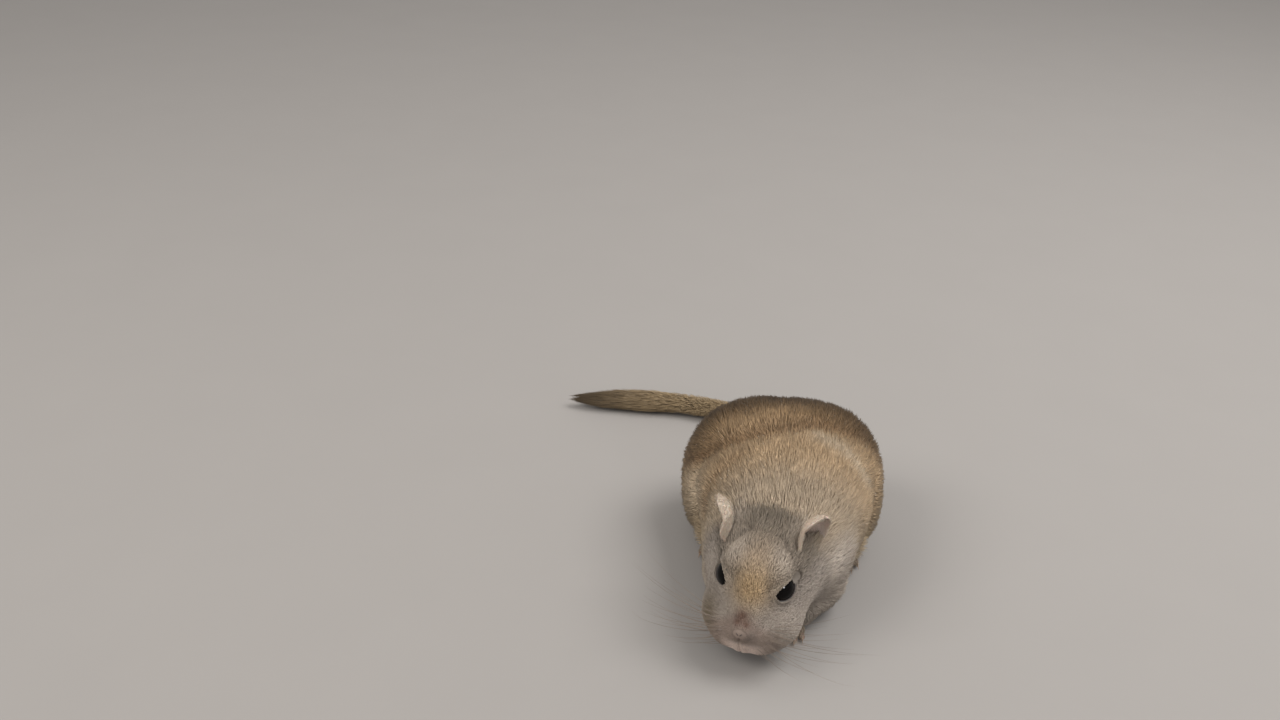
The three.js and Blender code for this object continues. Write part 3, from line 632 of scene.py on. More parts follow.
# %% Material helper
def finish_of(name, roughness, bump=None, colour=None, attribute=None, grain=(900.0, 0.12), **sockets):
    """A Principled finish. bump is (scale, strength), grain is (scale, how much it changes the colour)."""
    made = bpy.data.materials.new(name)
    made.use_nodes = True
    nodes, links = made.node_tree.nodes, made.node_tree.links
    shader = nodes["Principled BSDF"]
    shader.inputs["Roughness"].default_value = roughness
    for socket, value in sockets.items():
        shader.inputs[socket.replace("_", " ")].default_value = value
    place = nodes.new("ShaderNodeTexCoord")
    noise = nodes.new("ShaderNodeTexNoise")
    noise.inputs["Scale"].default_value = grain[0]
    noise.inputs["Detail"].default_value = 3
    links.new(place.outputs["Object"], noise.inputs["Vector"])
    shade = nodes.new("ShaderNodeMapRange")
    shade.inputs["To Min"].default_value = 1 - grain[1]
    shade.inputs["To Max"].default_value = 1 + grain[1]
    links.new(noise.outputs["Fac"], shade.inputs["Value"])
    tint = nodes.new("ShaderNodeVectorMath")
    tint.operation = "SCALE"
    links.new(shade.outputs["Result"], tint.inputs["Scale"])
    if attribute:
        source = nodes.new("ShaderNodeAttribute")
        source.attribute_name = attribute
        links.new(source.outputs["Color"], tint.inputs[0])
    else:
        tint.inputs[0].default_value = tuple(colour)
    links.new(tint.outputs["Vector"], shader.inputs["Base Color"])
    if bump:
        rough = nodes.new("ShaderNodeTexNoise")
        rough.inputs["Scale"].default_value = bump[0]
        links.new(place.outputs["Object"], rough.inputs["Vector"])
        raised = nodes.new("ShaderNodeBump")
        raised.inputs["Strength"].default_value = bump[1]
        raised.inputs["Distance"].default_value = 0.0002
        links.new(rough.outputs["Fac"], raised.inputs["Height"])
        links.new(raised.outputs["Normal"], shader.inputs["Normal"])
    return made


fur_finish = finish_of("short_fur", 0.62, attribute="coat", grain=(1400.0, 0.1), Specular_IOR_Level=0.3)
skin_finish = finish_of("furred_skin", 0.7, bump=(2600.0, 0.5), attribute="coat", Specular_IOR_Level=0.25)
bare_finish = finish_of("thin_skin", 0.5, bump=(2200.0, 0.35), attribute="coat", grain=(1500.0, 0.1),
                        Subsurface_Weight=0.15, Subsurface_Scale=0.001)
wet_black = finish_of("wet_eye", 0.03, colour=paint(7, 5, 4), grain=(400.0, 0.3), IOR=1.2)
horn = finish_of("claw_horn", 0.35, bump=(1500.0, 0.2), colour=paint(150, 122, 98), grain=(1200.0, 0.2))
whisker_finish = finish_of("whisker", 0.35, colour=paint(122, 108, 96), grain=(160.0, 0.6))
print("finishes:", [m.name for m in bpy.data.materials if m.users or m.use_nodes])


# %% Colour carried by a mesh
def carry_colour(mesh, colours):
    """Writes one linear colour for each point, under the name that the finishes read."""
    layer = mesh.attributes.get("coat") or mesh.attributes.new("coat", "FLOAT_COLOR", "POINT")
    rgba = np.ones((len(colours), 4), np.float32)
    rgba[:, :3] = colours
    layer.data.foreach_set("color", rgba.ravel())


def piece_from(name, mesh, material, replaced=()):
    """Names a finished mesh, gives it its finish, and lets it ride with the animal."""
    mesh.name = name
    mesh.materials.clear()
    mesh.materials.append(material)
    smooth_shaded(mesh)
    made = object_from(name, mesh)
    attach(made, "root")
    if replaced:
        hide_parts(*replaced)
    return made


# %% [markdown]
# ## Tail core
# A tail is a tube along a curve. The curve here is a spline through a few places on the floor, cut into
# even steps, and each step gets a ring of points. The core is only as thick as the flesh: its fur comes
# later.

# %% Tail core
TAIL_PATH = ((0, 37, 11), (0.5, 48, 8.6), (-1.5, 61.5, 5.5), (-10, 75, 4.4), (-26, 81.5, 4.1),
             (-43, 83, 3.95), (-60, 82.8, 3.65))


def spline(points, count):
    """Evenly spaced points on a smooth curve through the given ones."""
    p = np.array(points, float)
    p = np.vstack([2 * p[0] - p[1], p, 2 * p[-1] - p[-2]])
    t = np.linspace(0, 1, 40, endpoint=False)[:, None]
    pieces = [
        0.5 * (2 * b + (c - a) * t + (2 * a - 5 * b + 4 * c - d) * t**2 + (3 * b - a - 3 * c + d) * t**3)
        for a, b, c, d in zip(p[:-3], p[1:-2], p[2:-1], p[3:])
    ]
    dense = np.vstack([*pieces, p[-2:-1]])
    reach = np.concatenate([[0], np.cumsum(np.linalg.norm(np.diff(dense, axis=0), axis=1))])
    at = np.linspace(0, reach[-1], count)
    return np.stack([np.interp(at, reach, dense[:, axis]) for axis in range(3)], 1)


def rings_along(centres, radii, sides, breadth=1.0):
    """Rings of points that stand upright across a path. breadth makes them narrower or wider."""
    tangent = unit(np.gradient(centres, axis=0))
    across = unit(np.cross((0, 0, 1), tangent))
    through = np.cross(tangent, across)
    turn = np.linspace(0, 2 * np.pi, sides, endpoint=False)[None, :, None]
    ring = np.cos(turn) * across[:, None] * breadth + np.sin(turn) * through[:, None]
    return (centres[:, None] + radii[:, None, None] * ring).reshape(-1, 3)


def quads_between(rings, sides, closed=False):
    """Faces between neighbouring rings of points. closed joins the last ring to the first."""
    faces = []
    for r in range(rings if closed else rings - 1):
        low, high = r * sides, (r + 1) % rings * sides
        for i in range(sides):
            j = (i + 1) % sides
            faces.append((low + i, low + j, high + j, high + i))
    return faces


def tube_faces(rings, sides):
    """All faces of a tube that ends in two points, which come after the points of its rings."""
    start, end, last_ring = rings * sides, rings * sides + 1, (rings - 1) * sides
    faces = quads_between(rings, sides)
    faces += [(start, (i + 1) % sides, i) for i in range(sides)]
    return faces + [(end, last_ring + i, last_ring + (i + 1) % sides) for i in range(sides)]


def joined_mesh(name, shapes):
    """One mesh from several lists of points and faces."""
    points, faces, first = [], [], 0
    for p, f in shapes:
        points.append(p)
        faces += [tuple(first + i for i in face) for face in f]
        first += len(p)
    mesh = bpy.data.meshes.new(name)
    mesh.from_pydata(to_frame(np.vstack(points)).tolist(), [], faces)
    mesh.update()
    return mesh


TAIL_SIDES = 16
tail_line = spline([(0, 30, 15), *TAIL_PATH], 150)
tail_share = np.linspace(0, 1, len(tail_line))
tail_core_radius = TAIL_RADIUS * np.interp(tail_share, (0, 0.1, 1), (0.9, 0.62, 0.36))
rings = rings_along(tail_line, tail_core_radius, TAIL_SIDES)
start = tail_line[0] - unit(tail_line[1] - tail_line[0]) * tail_core_radius[0] * 0.7
end = tail_line[-1] + unit(tail_line[-1] - tail_line[-2]) * tail_core_radius[-1] * 0.7
tail_faces = tube_faces(len(tail_line), TAIL_SIDES)
tail_mesh = joined_mesh("tail_core", [(np.vstack([rings, start, end]), tail_faces)])
print("tail:", round(float(np.linalg.norm(np.diff(tail_line, axis=0), axis=1).sum())), "mm long")

# %% [markdown]
# ## Feet
# A foot is a few tapered lengths: a sole, and toes that fan out from it with a bulb at each tip. They are
# melted together by a fine voxel remesh, as the body was. The claws are pieces of their own, because horn
# doesn't melt into skin.

# %% Feet and claws
def rounded(a, b, ra, rb, sides=14):
    """A closed, round-ended length from a to b."""
    a, b = np.array(a, float), np.array(b, float)
    way = unit(b - a)
    shares = np.linspace(-1, 1, 7)[1:-1] * np.pi / 2
    ends = [(a + way * ra * math.sin(s), ra * math.cos(s)) for s in shares if s <= 0]
    ends += [(b + way * rb * math.sin(s), rb * math.cos(s)) for s in shares if s >= 0]
    side = unit(np.cross(way, (0.3, 0.1, 1)))
    other = np.cross(way, side)
    turn = np.linspace(0, 2 * np.pi, sides, endpoint=False)
    ring = np.cos(turn)[:, None] * side + np.sin(turn)[:, None] * other
    points = np.vstack([c + r * ring for c, r in ends] + [a - way * ra, b + way * rb])
    return points, tube_faces(len(ends), sides)


FEET = {
    "hind": dict(heel=(17.6, 28, 2.8), pad=(18, 9.64, 2.0), heel_radius=2.7, pad_radius=2.6,
                 toes=5, toe_length=8.1, toe_radius=1.0, claw=2.4, fan=9, turn=4),
    "fore": dict(heel=(0, -20.5, 2.6), pad=(-0.8, -24.26, 1.7), heel_radius=1.9, pad_radius=2.1,
                 toes=4, toe_length=4.5, toe_radius=0.8, claw=2.0, fan=13, turn=-3),
}
FOOT_VOXEL = 0.26


def foot_shapes(kind, side):
    """The lengths of one foot, and the root, middle and tip of each claw."""
    f = FEET[kind]
    fore = kind == "fore"

    def place(point):
        x = point[0] + fore_foot_x(side) if fore else side * point[0]
        return np.array((x, point[1], point[2]), float)

    heel, pad = place(f["heel"]), place(f["pad"])
    shapes = [rounded(heel, pad, f["heel_radius"], f["pad_radius"] * 0.85)]
    claws = []
    for t in range(f["toes"]):
        spread = t - (f["toes"] - 1) / 2
        heading = math.radians((-12 if fore else 0) + side * f["turn"] + spread * f["fan"])
        reach = f["toe_length"] * (1 - 0.13 * abs(spread) ** 1.4)
        way = np.array((math.sin(heading), -math.cos(heading), 0))
        start = pad + (spread * f["pad_radius"] * 0.55, abs(spread) * 0.5, -0.1 * pad[2])
        r = f["toe_radius"]
        knuckle = start + way * reach * 0.5
        knuckle[2] = r * 1.75
        tip = start + way * reach
        tip[2] = r * 0.95
        shapes.append(rounded(start, knuckle, r * 1.1, r * 0.92))
        shapes.append(rounded(knuckle, tip, r * 0.92, r * 0.8))
        shapes.append(rounded(tip + (0, 0, 0.1), tip + way * 0.25 + (0, 0, 0.1), r * 0.95, r * 0.8))
        root = tip + way * r * 0.3 + (0, 0, r * 0.35)
        end = tip + way * f["claw"]
        claws.append((root, (root + end) / 2 + (0, 0, 0.25), (end[0], end[1], 0.22)))
    return shapes, claws


foot_meshes, claw_lines = [], []
for kind in FEET:
    for _, side in SIDES:
        shapes, claws = foot_shapes(kind, side)
        foot = remeshed(joined_mesh("foot", shapes), FOOT_VOXEL)
        points, normals = points_and_normals(foot)
        points[:, 2] = np.maximum(points[:, 2], 0.02)
        set_points(foot, points)
        foot_meshes.append(foot)
        claw_lines += claws
print("feet:", sum(len(m.vertices) for m in foot_meshes), "points,", len(claw_lines), "claws")


# %% [markdown]
# ## Eyes and lids
# A gerbil's eye is a black bead, so round and wet that it mirrors the window. It is a near-black sphere
# with a smooth, glossy finish. What makes it look alive is the lid: a thin dark margin that hugs the sphere
# along a teardrop opening, pointed at the back, and rolls outwards into the fur. The lid is a closed ring
# made of rows of points, from under the eyeball's surface, over the margin, and down into the skin.

# %% Eyeballs
def closed_outward(mesh):
    """Turns all faces of a closed mesh outwards."""
    bm = bmesh.new()
    bm.from_mesh(mesh)
    bmesh.ops.recalc_face_normals(bm, faces=bm.faces)
    bm.to_mesh(mesh)
    bm.free()
    return mesh


for name, side in SIDES:
    out, front, up = eye_axes(side)
    bm = bmesh.new()
    bmesh.ops.create_uvsphere(bm, u_segments=48, v_segments=32, radius=EYE_RADIUS * 0.001)
    turn = Matrix((front, np.cross(out, front), out)).transposed().to_4x4()
    bmesh.ops.transform(bm, matrix=Matrix.Translation(to_frame(eye_place(side))) @ turn, verts=bm.verts)
    eye_mesh = bpy.data.meshes.new("eyeball")
    bm.to_mesh(eye_mesh)
    bm.free()
    piece_from(f"eyeball_{name}", eye_mesh, wet_black, [f"eye_{name}"])
print("eyes looking", eye_axes(1)[0].round(2), "and", eye_axes(-1)[0].round(2))

# %% Lids
LID_ROWS = (  # share of the opening, height over the eyeball, how far it has gone over to the skin
    (0.92, -0.30, 0.0), (0.97, 0.08, 0.0), (1.01, 0.24, 0.0), (1.06, 0.34, 0.0), (1.14, 0.36, 0.1),
    (1.26, 0.22, 0.5), (1.42, 0.05, 1.0), (1.62, -0.35, 1.0),
    (1.6, -1.2, 1.0), (1.3, -1.3, 0.5), (0.92, -1.0, 0.0),
)
LID_MARGIN_ROWS = 3
LID_TURNS = 72
LID_DARK = paint(44, 32, 28)


def lid_points(side):
    out, front, up = eye_axes(side)
    turn = np.linspace(0, 2 * np.pi, LID_TURNS, endpoint=False)
    reach = OPENING_LENGTH * np.cos(turn) * np.where(np.cos(turn) < 0, REAR_CORNER, 1)
    rise = OPENING_HEIGHT * np.sin(turn) * (0.74 + 0.26 * np.cos(turn))
    rows = []
    for share, over, gone in LID_ROWS:
        share = 1 + (share - 1) * crowding(np.cos(turn)) if share > 1 else share
        a, b = reach * share, rise * share
        w = np.sqrt(np.maximum((EYE_RADIUS + over) ** 2 - a * a - b * b, 0.8))
        row = eye_place(side) + a[:, None] * front + b[:, None] * up + w[:, None] * out
        skin_row = settle(row, head_form)
        skin_row = settle(skin_row, head_form, coat_depth(skin_row) - over)
        rows.append(row + (skin_row - row) * gone)
    return rows


lid_meshes = []
for name, side in SIDES:
    rows = lid_points(side)
    points, faces = np.vstack(rows), quads_between(len(rows), LID_TURNS, closed=True)
    lid = closed_outward(joined_mesh("lid", [(points, faces)]))
    tone = coat_colour(points) * 0.95
    margin = LID_MARGIN_ROWS * LID_TURNS
    tone[:margin] = LID_DARK
    tone[margin : margin + LID_TURNS] *= 0.8
    carry_colour(lid, tone)
    piece_from(f"lids_{name}", lid, bare_finish)
    lid_meshes.append(lid)
print("lids:", [len(m.vertices) for m in lid_meshes], "points")

# %% [markdown]
# ## Ears
# The ear is a sheet rolled into a cup. Rows run up its length and columns across it, each column further
# round the roll, and a second layer just inside gives it its thickness. The rim is drawn a little thicker,
# and the hollow near the root has a low ridge, as the real cartilage has.

# %% Ears
EAR_CELLS = 40
EAR_THICKNESS = 0.5
ROOT_ROLL, TIP_ROLL = 1.45, 0.9  # how far round the sheet goes on each side of its middle, in radians
EAR_SET = {  # each ear's root, its upward way and the way it opens, in the head's own measure
    1: ((9.4, 5.8, 6.9), (0.42, 0.33, 0.84), (0.87, -0.46, 0.12)),
    -1: ((-10, 4.8, 6), (-0.45, 0.24, 0.86), (-0.95, -0.3, 0.1)),
}


def ear_sheet(side, inner):
    """A grid of points: the back of the ear with inner = 0, and its hollow with inner = 1."""
    place, up, opening = EAR_SET[side]
    root, up, opening = in_head(place), head_way(*up), head_way(*opening)
    opening = unit(opening - up * (opening @ up))
    across = np.cross(up, opening)
    shares, turns = np.linspace(0, 1, EAR_CELLS + 1), np.linspace(-1, 1, EAR_CELLS + 1)
    share, turn = np.meshgrid(shares, turns, indexing="ij")
    round_top = np.sqrt(np.maximum(1 - ((share - 0.75) / 0.27) ** 2, 0.01))
    width = EAR_WIDTH / 2 * (0.5 + 0.62 * np.sin(np.pi * (0.12 + 0.78 * share)))
    width = width * np.where(share > 0.75, round_top, 1)
    roll = ROOT_ROLL + (TIP_ROLL - ROOT_ROLL) * np.minimum(1, share * 1.6)
    rim = np.maximum(np.abs(turn), ramp(share, 0.7, 1.0)) ** 6
    inset = inner * EAR_THICKNESS * (1 + 0.5 * rim)
    inset = inset + inner * 0.5 * np.exp(-((turn - 0.35) / 0.16) ** 2) * ramp(share, 0.75, 0.3)
    radius = np.maximum(width / np.sin(np.minimum(roll, np.pi / 2)), 0.6) - inset
    wave = 0.18 * np.sin(7 * share + side) * turn**2
    angle = turn * roll * (1 + 0.04 * np.sin(9 * share + 2 * side))
    height = (share - 0.12) * EAR_LENGTH - inner * 0.25 * ramp(share, 0.8, 1.0) - 2.2 * ramp(share, 0.3, 0.0)
    return (root + height[..., None] * up + (radius * np.sin(angle))[..., None] * across
            + (width * 0.8 + wave - radius * np.cos(angle))[..., None] * opening)


def ear_faces():
    """Faces of the outer sheet, of the inner one, and of the rim between them."""
    n = EAR_CELLS + 1
    layer = n * n
    faces = []
    for r in range(EAR_CELLS):
        for c in range(EAR_CELLS):
            a, b, d, e = r * n + c, r * n + c + 1, (r + 1) * n + c + 1, (r + 1) * n + c
            faces += [(a, b, d, e), (layer + a, layer + e, layer + d, layer + b)]
    rim = list(range(n)) + [r * n + EAR_CELLS for r in range(1, n)]
    rim += [EAR_CELLS * n + c for c in range(EAR_CELLS - 1, -1, -1)]
    rim += [r * n for r in range(EAR_CELLS - 1, 0, -1)]
    for a, b in zip(rim, rim[1:] + rim[:1]):
        faces.append((a, b, layer + b, layer + a))
    return faces


EAR_BACK = paint(204, 188, 171)
EAR_INSIDE = paint(204, 184, 173)
# painted shade: a dark tone for the hollow deep in the ear near its root
EAR_HOLLOW_SHADE = paint(96, 78, 70)
ear_meshes = []
for name, side in SIDES:
    outer, inner = ear_sheet(side, 0).reshape(-1, 3), ear_sheet(side, 1).reshape(-1, 3)
    ear = closed_outward(joined_mesh("ear", [(np.vstack([outer, inner]), ear_faces())]))
    share = np.repeat(np.linspace(0, 1, EAR_CELLS + 1), EAR_CELLS + 1)
    turn = np.tile(np.linspace(-1, 1, EAR_CELLS + 1), EAR_CELLS + 1)
    # painted shade: the hollow darkens towards its root
    deep = (ramp(share, 0.62, 0.3) * (1 - turn**4))[:, None]
    edge = ramp(np.maximum(np.abs(turn), share), 0.8, 1.0)[:, None]
    inside = EAR_INSIDE + (EAR_HOLLOW_SHADE - EAR_INSIDE) * deep
    inside = inside + (EAR_BACK - inside) * edge
    carry_colour(ear, np.vstack([np.tile(EAR_BACK, (len(outer), 1)), inside]))
    piece_from(f"ear_skin_{name}", ear, bare_finish, [f"ear_{name}"])
    ear_meshes.append(ear)
print("ears:", [len(m.vertices) for m in ear_meshes], "points")

# %% [markdown]
# ## Nose
# The bare tip of the nose is a small cushion with a comma-shaped nostril on each side and a groove down its
# middle. It starts as a sphere with rows fine enough to hold these, and each is a dent of its own width.

# %% Nose
NOSE_CENTRE = np.array((0, -18.9, -2.3))
NOSE_RADII = np.array((2.15, 1.9, 1.8))
NOSTRIL = ((0.75, -20.7, -2.6), (1.25, -20.5, -2.1), (1.95, -19.7, -1.8))
bm = bmesh.new()
bmesh.ops.create_uvsphere(bm, u_segments=72, v_segments=48, radius=1)
nose_mesh = bpy.data.meshes.new("nose")
bm.to_mesh(nose_mesh)
bm.free()
co = np.array([v.co for v in nose_mesh.vertices])
local = NOSE_CENTRE + co * NOSE_RADII
low_in_front = ramp(local[:, 1], -18.8, -20.2) * ramp(local[:, 2], -1.2, -2.4)
dent = 0.35 * np.exp(-(co[:, 0] / 0.09) ** 2) * low_in_front
for _, side in SIDES:
    reach = distance_to(local, along_line(mirrored(NOSTRIL, side), 8))
    dent += 0.75 * np.exp(-((reach / 0.36) ** 2)) - 0.16 * np.exp(-(((reach - 0.75) / 0.3) ** 2))
local -= unit(co) * dent[:, None]
nose_tone = np.tile(paint(82, 69, 64), (len(co), 1))
# painted shade: the nostrils and the middle groove darken with their depth
dark = np.clip(dent / 0.6, 0, 1)[:, None]
nose_tone += (paint(62, 42, 38) - nose_tone) * dark
rusty = np.clip(1.2 * spot(local, (0, -19.0, -0.4), (1.8, 1.3, 0.9)), 0, 1)[:, None]
nose_tone += (RUST - nose_tone) * rusty * 0.55
set_points(nose_mesh, in_head(local))
carry_colour(nose_mesh, nose_tone)
piece_from("nose", closed_outward(nose_mesh), bare_finish)
print("nose:", len(co), "points")

# %% [markdown]
# ## The skin as one piece
# Body, tail core and feet become one object, the skin, which stands for all the solids of flesh. It is
# mostly hidden, so its colour is the fur's own, darkened as painted shade under the coat, and pink where
# it is bare on toes and soles.

# %% Join the skin
def mesh_joined(meshes, name):
    bm = bmesh.new()
    for mesh in meshes:
        bm.from_mesh(mesh)
    made = bpy.data.meshes.new(name)
    bm.to_mesh(made)
    bm.free()
    return made


points = points_of(body_mesh)
# painted shade: the skin is darker than the fur over it, most under the deep coat behind the head, on the
# tail core and on the feet
depth_shade = 0.95 - 0.2 * ramp(to_head(points)[:, 1], -8, 6)
carry_colour(body_mesh, coat_colour(points) * depth_shade[:, None])
carry_colour(tail_mesh, coat_colour(points_of(tail_mesh)) * 0.65)
for foot in foot_meshes:
    points = points_of(foot)
    tip = ramp(points[:, 2], 2.6, 1.0)[:, None]
    carry_colour(foot, LIMB_PALE * 0.6 + (SKIN_PINK * 0.6 - LIMB_PALE * 0.6) * tip)
skin_mesh = mesh_joined([body_mesh, tail_mesh, *foot_meshes], "skin")
FLESH_NODES = [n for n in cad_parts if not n.startswith(("eye", "ear"))]
piece_from("skin", skin_mesh, skin_finish, FLESH_NODES)
print("skin stands for", FLESH_NODES)


# %% Claws
def horn_mesh(lines, radius, sides=8, steps=7):
    """Curved, pointed claws, each through a root, a middle and a tip."""
    shapes = []
    for root, middle, tip in lines:
        t = np.linspace(0, 1, steps)[:, None]
        centres = (1 - t) ** 2 * root + 2 * t * (1 - t) * middle + t**2 * tip
        radii = radius * (1.02 - np.linspace(0, 1, steps) ** 1.3)
        points = np.vstack([rings_along(centres, radii, sides, 0.8), root, tip])
        shapes.append((points, tube_faces(steps, sides)))
    return joined_mesh("claws", shapes)


CLAW_RADIUS = 0.36
claws_mesh = closed_outward(horn_mesh(claw_lines, CLAW_RADIUS))
piece_from("claws", claws_mesh, horn)
print("claws:", len(claw_lines))

# %% [markdown]
# ## Where tufts grow
# A tuft needs a root on the skin, and roots should be spread as evenly as real hairs. Every triangle gets a
# share of a long ruler by its area times the wanted density, and one root falls in each equal stretch of
# it. That avoids the clumps and bald spots that plain chance gives.

# %% Scatter roots
def surface_of(mesh):
    """Corners and corner normals of a mesh's triangles, in mm."""
    mesh.calc_loop_triangles()
    corners = np.zeros(len(mesh.loop_triangles) * 3, np.int32)
    mesh.loop_triangles.foreach_get("vertices", corners)
    points, normals = points_and_normals(mesh)
    corners = corners.reshape(-1, 3)
    return points[corners], normals[corners]


def scatter(mesh, density, keep=None):
    """Roots and normals, with density(points) roots to the square millimetre."""
    corners, normals = surface_of(mesh)
    middle = corners.mean(1)
    area = np.linalg.norm(np.cross(corners[:, 1] - corners[:, 0], corners[:, 2] - corners[:, 0]), axis=1) / 2
    share = area * density(middle)
    if keep is not None:
        share = share * keep(middle)
    ruler = np.cumsum(share)
    count = int(ruler[-1])
    at = (np.arange(count) + rng.random(count)) / count * ruler[-1]
    chosen = np.searchsorted(ruler, at)
    u, v = rng.random((2, count))
    flip = u + v > 1
    u, v = np.where(flip, 1 - u, u), np.where(flip, 1 - v, v)
    weights = np.stack([1 - u - v, u, v], 1)[:, :, None]
    return (corners[chosen] * weights).sum(1), unit((normals[chosen] * weights).sum(1))


# %% [markdown]
# ## The lie of the coat
# Fur grows away from the nose, parts round the eyes, runs back over neck and loins and falls over the
# flanks to the rump. That is one direction for each root: a sum of a few simple ways, laid flat on the
# skin, with a slow waver so that it doesn't look combed.

# %% Lie
def lie_of_coat(p, n):
    h = to_head(p)
    aside = np.abs(p[:, 0])
    way = np.tile((0.0, 1.0, 0.0), (len(p), 1))
    way[:, 2] -= 0.12 + 0.5 * ramp(aside, 12, 28) + 1.3 * ramp(p[:, 1], 26, 40)
    from_nose = unit((h - (0, -20.5, -2.5)) * (0.9, 1, 0.8)) + (0, 0.35, 0)
    way += (unit(from_nose) @ HEAD_TURN.T * 1.2 - way) * ramp(h[:, 1], 11, 2)[:, None]
    for _, side in SIDES:
        from_eye = p - eye_place(side)
        near = np.exp(-((np.linalg.norm(from_eye, axis=1) / 5.2) ** 4))[:, None]
        way += (unit(from_eye) * (0.9, 0.9, 0.9) + way * 0.35 - way) * near * 0.85
    reaching = (ramp(p[:, 2], 10, 5) * ramp(p[:, 1], -8, -14))[:, None]
    way += (np.array((-0.15, -0.8, -0.6)) - way) * reaching
    waver = 0.2 * waves(p, 11, 7) + 0.14 * waves(p, 4, 8) + rng.normal(0, 0.13, len(p))
    way = unit(way - n * (way * n).sum(1, keepdims=True))
    return way * np.cos(waver)[:, None] + np.cross(n, way) * np.sin(waver)[:, None]


# %% [markdown]
# ## Tufts
# A tuft is a thin three-sided blade: a ring at the root, a ring half way where it is widest, and a point.
# It rises from the skin, then bends over to lie along it. Arrays build thousands at once: the same few
# corner numbers are repeated for each tuft, with an offset. Neighbours lean towards a common tip, which
# makes the small locks of a real coat. Each tuft also gets a small patch on a map that unrolls the skin
# round the body, so that colours baked for another program come out at the right place.

# %% Tuft builder
TUFT_POINTS = 7
TUFT_CORNERS = np.array((0, 1, 4, 3, 1, 2, 5, 4, 2, 0, 3, 5, 3, 4, 6, 4, 5, 6, 5, 3, 6, 2, 1, 0))
TUFT_FACES = np.array((0, 4, 8, 12, 15, 18, 21))
TUFT_TRIANGLES = 10
PATCH = 0.003
PATCH_OF_POINT = PATCH * np.array(
    ((-0.5, -0.5), (0, -0.5), (0.5, -0.5), (-0.5, 0), (0, 0), (0.5, 0), (0, 0.5))
)
coat_triangles = 0


def lean_together(roots, tips, spacing, pull):
    """Draws the tips of neighbours towards one of them, so that they form locks."""
    guides = rng.choice(len(roots), max(1, int(len(roots) / spacing)), replace=False)
    tree = KDTree(len(guides))
    for i, g in enumerate(guides):
        tree.insert(roots[g], i)
    tree.balance()
    nearest = guides[[tree.find(r)[1] for r in roots]]
    shift = tips[nearest] - tips
    return tips + shift * pull


def tuft_piece(name, roots, normals, lie, length, rise, width, colour, unrolled,
               sink=0.2, locks=(7, 0.35)):
    """One piece of coat. length, rise and width are in mm, one for each root. locks says how many tufts
    share a tip and how far they lean towards it."""
    global coat_triangles
    n = len(roots)
    tips = roots + lie * length[:, None] + normals * rise[:, None]
    tips = lean_together(roots, tips, *locks)
    tips[:, 2] = np.maximum(tips[:, 2], 0.05)
    bent = roots + (tips - roots) * 0.5 + normals * np.maximum(rise * 0.28, 0.1)[:, None]
    bent[:, 2] = np.maximum(bent[:, 2], 0.05)
    across = unit(np.cross(normals, lie)) * (width / 2)[:, None]
    ridge = normals * (width * 0.4)[:, None]
    start = roots - normals * sink
    points = np.stack(
        [start + across * 0.7, start + ridge * 0.7, start - across * 0.7,
         bent + across, bent + ridge, bent - across, tips], 1)
    points[:, :, 2] = np.maximum(points[:, :, 2], 0.02)
    mesh = bpy.data.meshes.new(name)
    mesh.vertices.add(n * TUFT_POINTS)
    mesh.vertices.foreach_set("co", to_frame(points.reshape(-1, 3)).astype(np.float32).ravel())
    corners = (np.arange(n)[:, None] * TUFT_POINTS + TUFT_CORNERS).ravel()
    mesh.loops.add(len(corners))
    mesh.loops.foreach_set("vertex_index", corners.astype(np.int32))
    mesh.polygons.add(n * len(TUFT_FACES))
    starts = (np.arange(n)[:, None] * len(TUFT_CORNERS) + TUFT_FACES).ravel()
    mesh.polygons.foreach_set("loop_start", starts.astype(np.int32))
    mesh.update(calc_edges=True)
    carry_colour(mesh, colour.reshape(-1, 3))
    low, high = unrolled.min(0), unrolled.max(0)
    spread = PATCH + (unrolled - low) / np.maximum(high - low, 1e-6) * (1 - 2 * PATCH)
    patch = (spread[:, None] + PATCH_OF_POINT[None]).reshape(-1, 2)[corners]
    mesh.uv_layers.new(name="OFBake").data.foreach_set("uv", patch.astype(np.float32).ravel())
    coat_triangles += n * TUFT_TRIANGLES
    print(f"{name}: {n} tufts, {n * TUFT_TRIANGLES} triangles")
    return piece_from(name, mesh, fur_finish)


def tuft_colours(roots, base, dark_tips=0.0, bright_tips=0.0, root_shade=0.72, spread=0.1):
    """Colours for the seven points of each tuft: darker at the root, and some with ticked tips."""
    n = len(roots)
    body = base * (1 + spread * rng.normal(size=(n, 1)))
    draw = rng.random((n, 1))
    tip = body * np.where(draw < dark_tips, 0.5, np.where(draw > 1 - bright_tips, 1.25, 1.06))
    root = body * root_shade
    return np.clip(np.stack([root] * 3 + [body * 0.97] * 3 + [tip], 1), 0.005, 0.95)


def unroll(p, centre, axis_turn=None):
    """Angle round the body and angle from its long axis: the skin unrolled like a globe on to a map."""
    d = p - centre
    if axis_turn is not None:
        d = d @ axis_turn
    around = np.arctan2(d[:, 0], d[:, 2]) / (2 * np.pi)
    return np.stack([around, np.arccos(np.clip(d[:, 1] / np.linalg.norm(d, axis=1), -1, 1)) / np.pi], 1)


# %% [markdown]
# ## The coat of head and body
# Density, length and width change over the body with the same two measures: how far back along the head a
# root is, and how high it stands. Tufts are smallest on the snout and round the eyes. No tuft grows in the
# eye socket, on the bare nose or in the line of the mouth.

# %% Coat of head and body
mouth_line = np.vstack([on_skin(mirrored(MOUTH, side)) for _, side in SIDES])
BARE_TO = 1.45  # share of the eye's opening up to which the lid takes the skin's place
LID_TUFTS_AT, LID_TUFTS_SPREAD, LID_DENSITY = 1.34, 0.28, 33


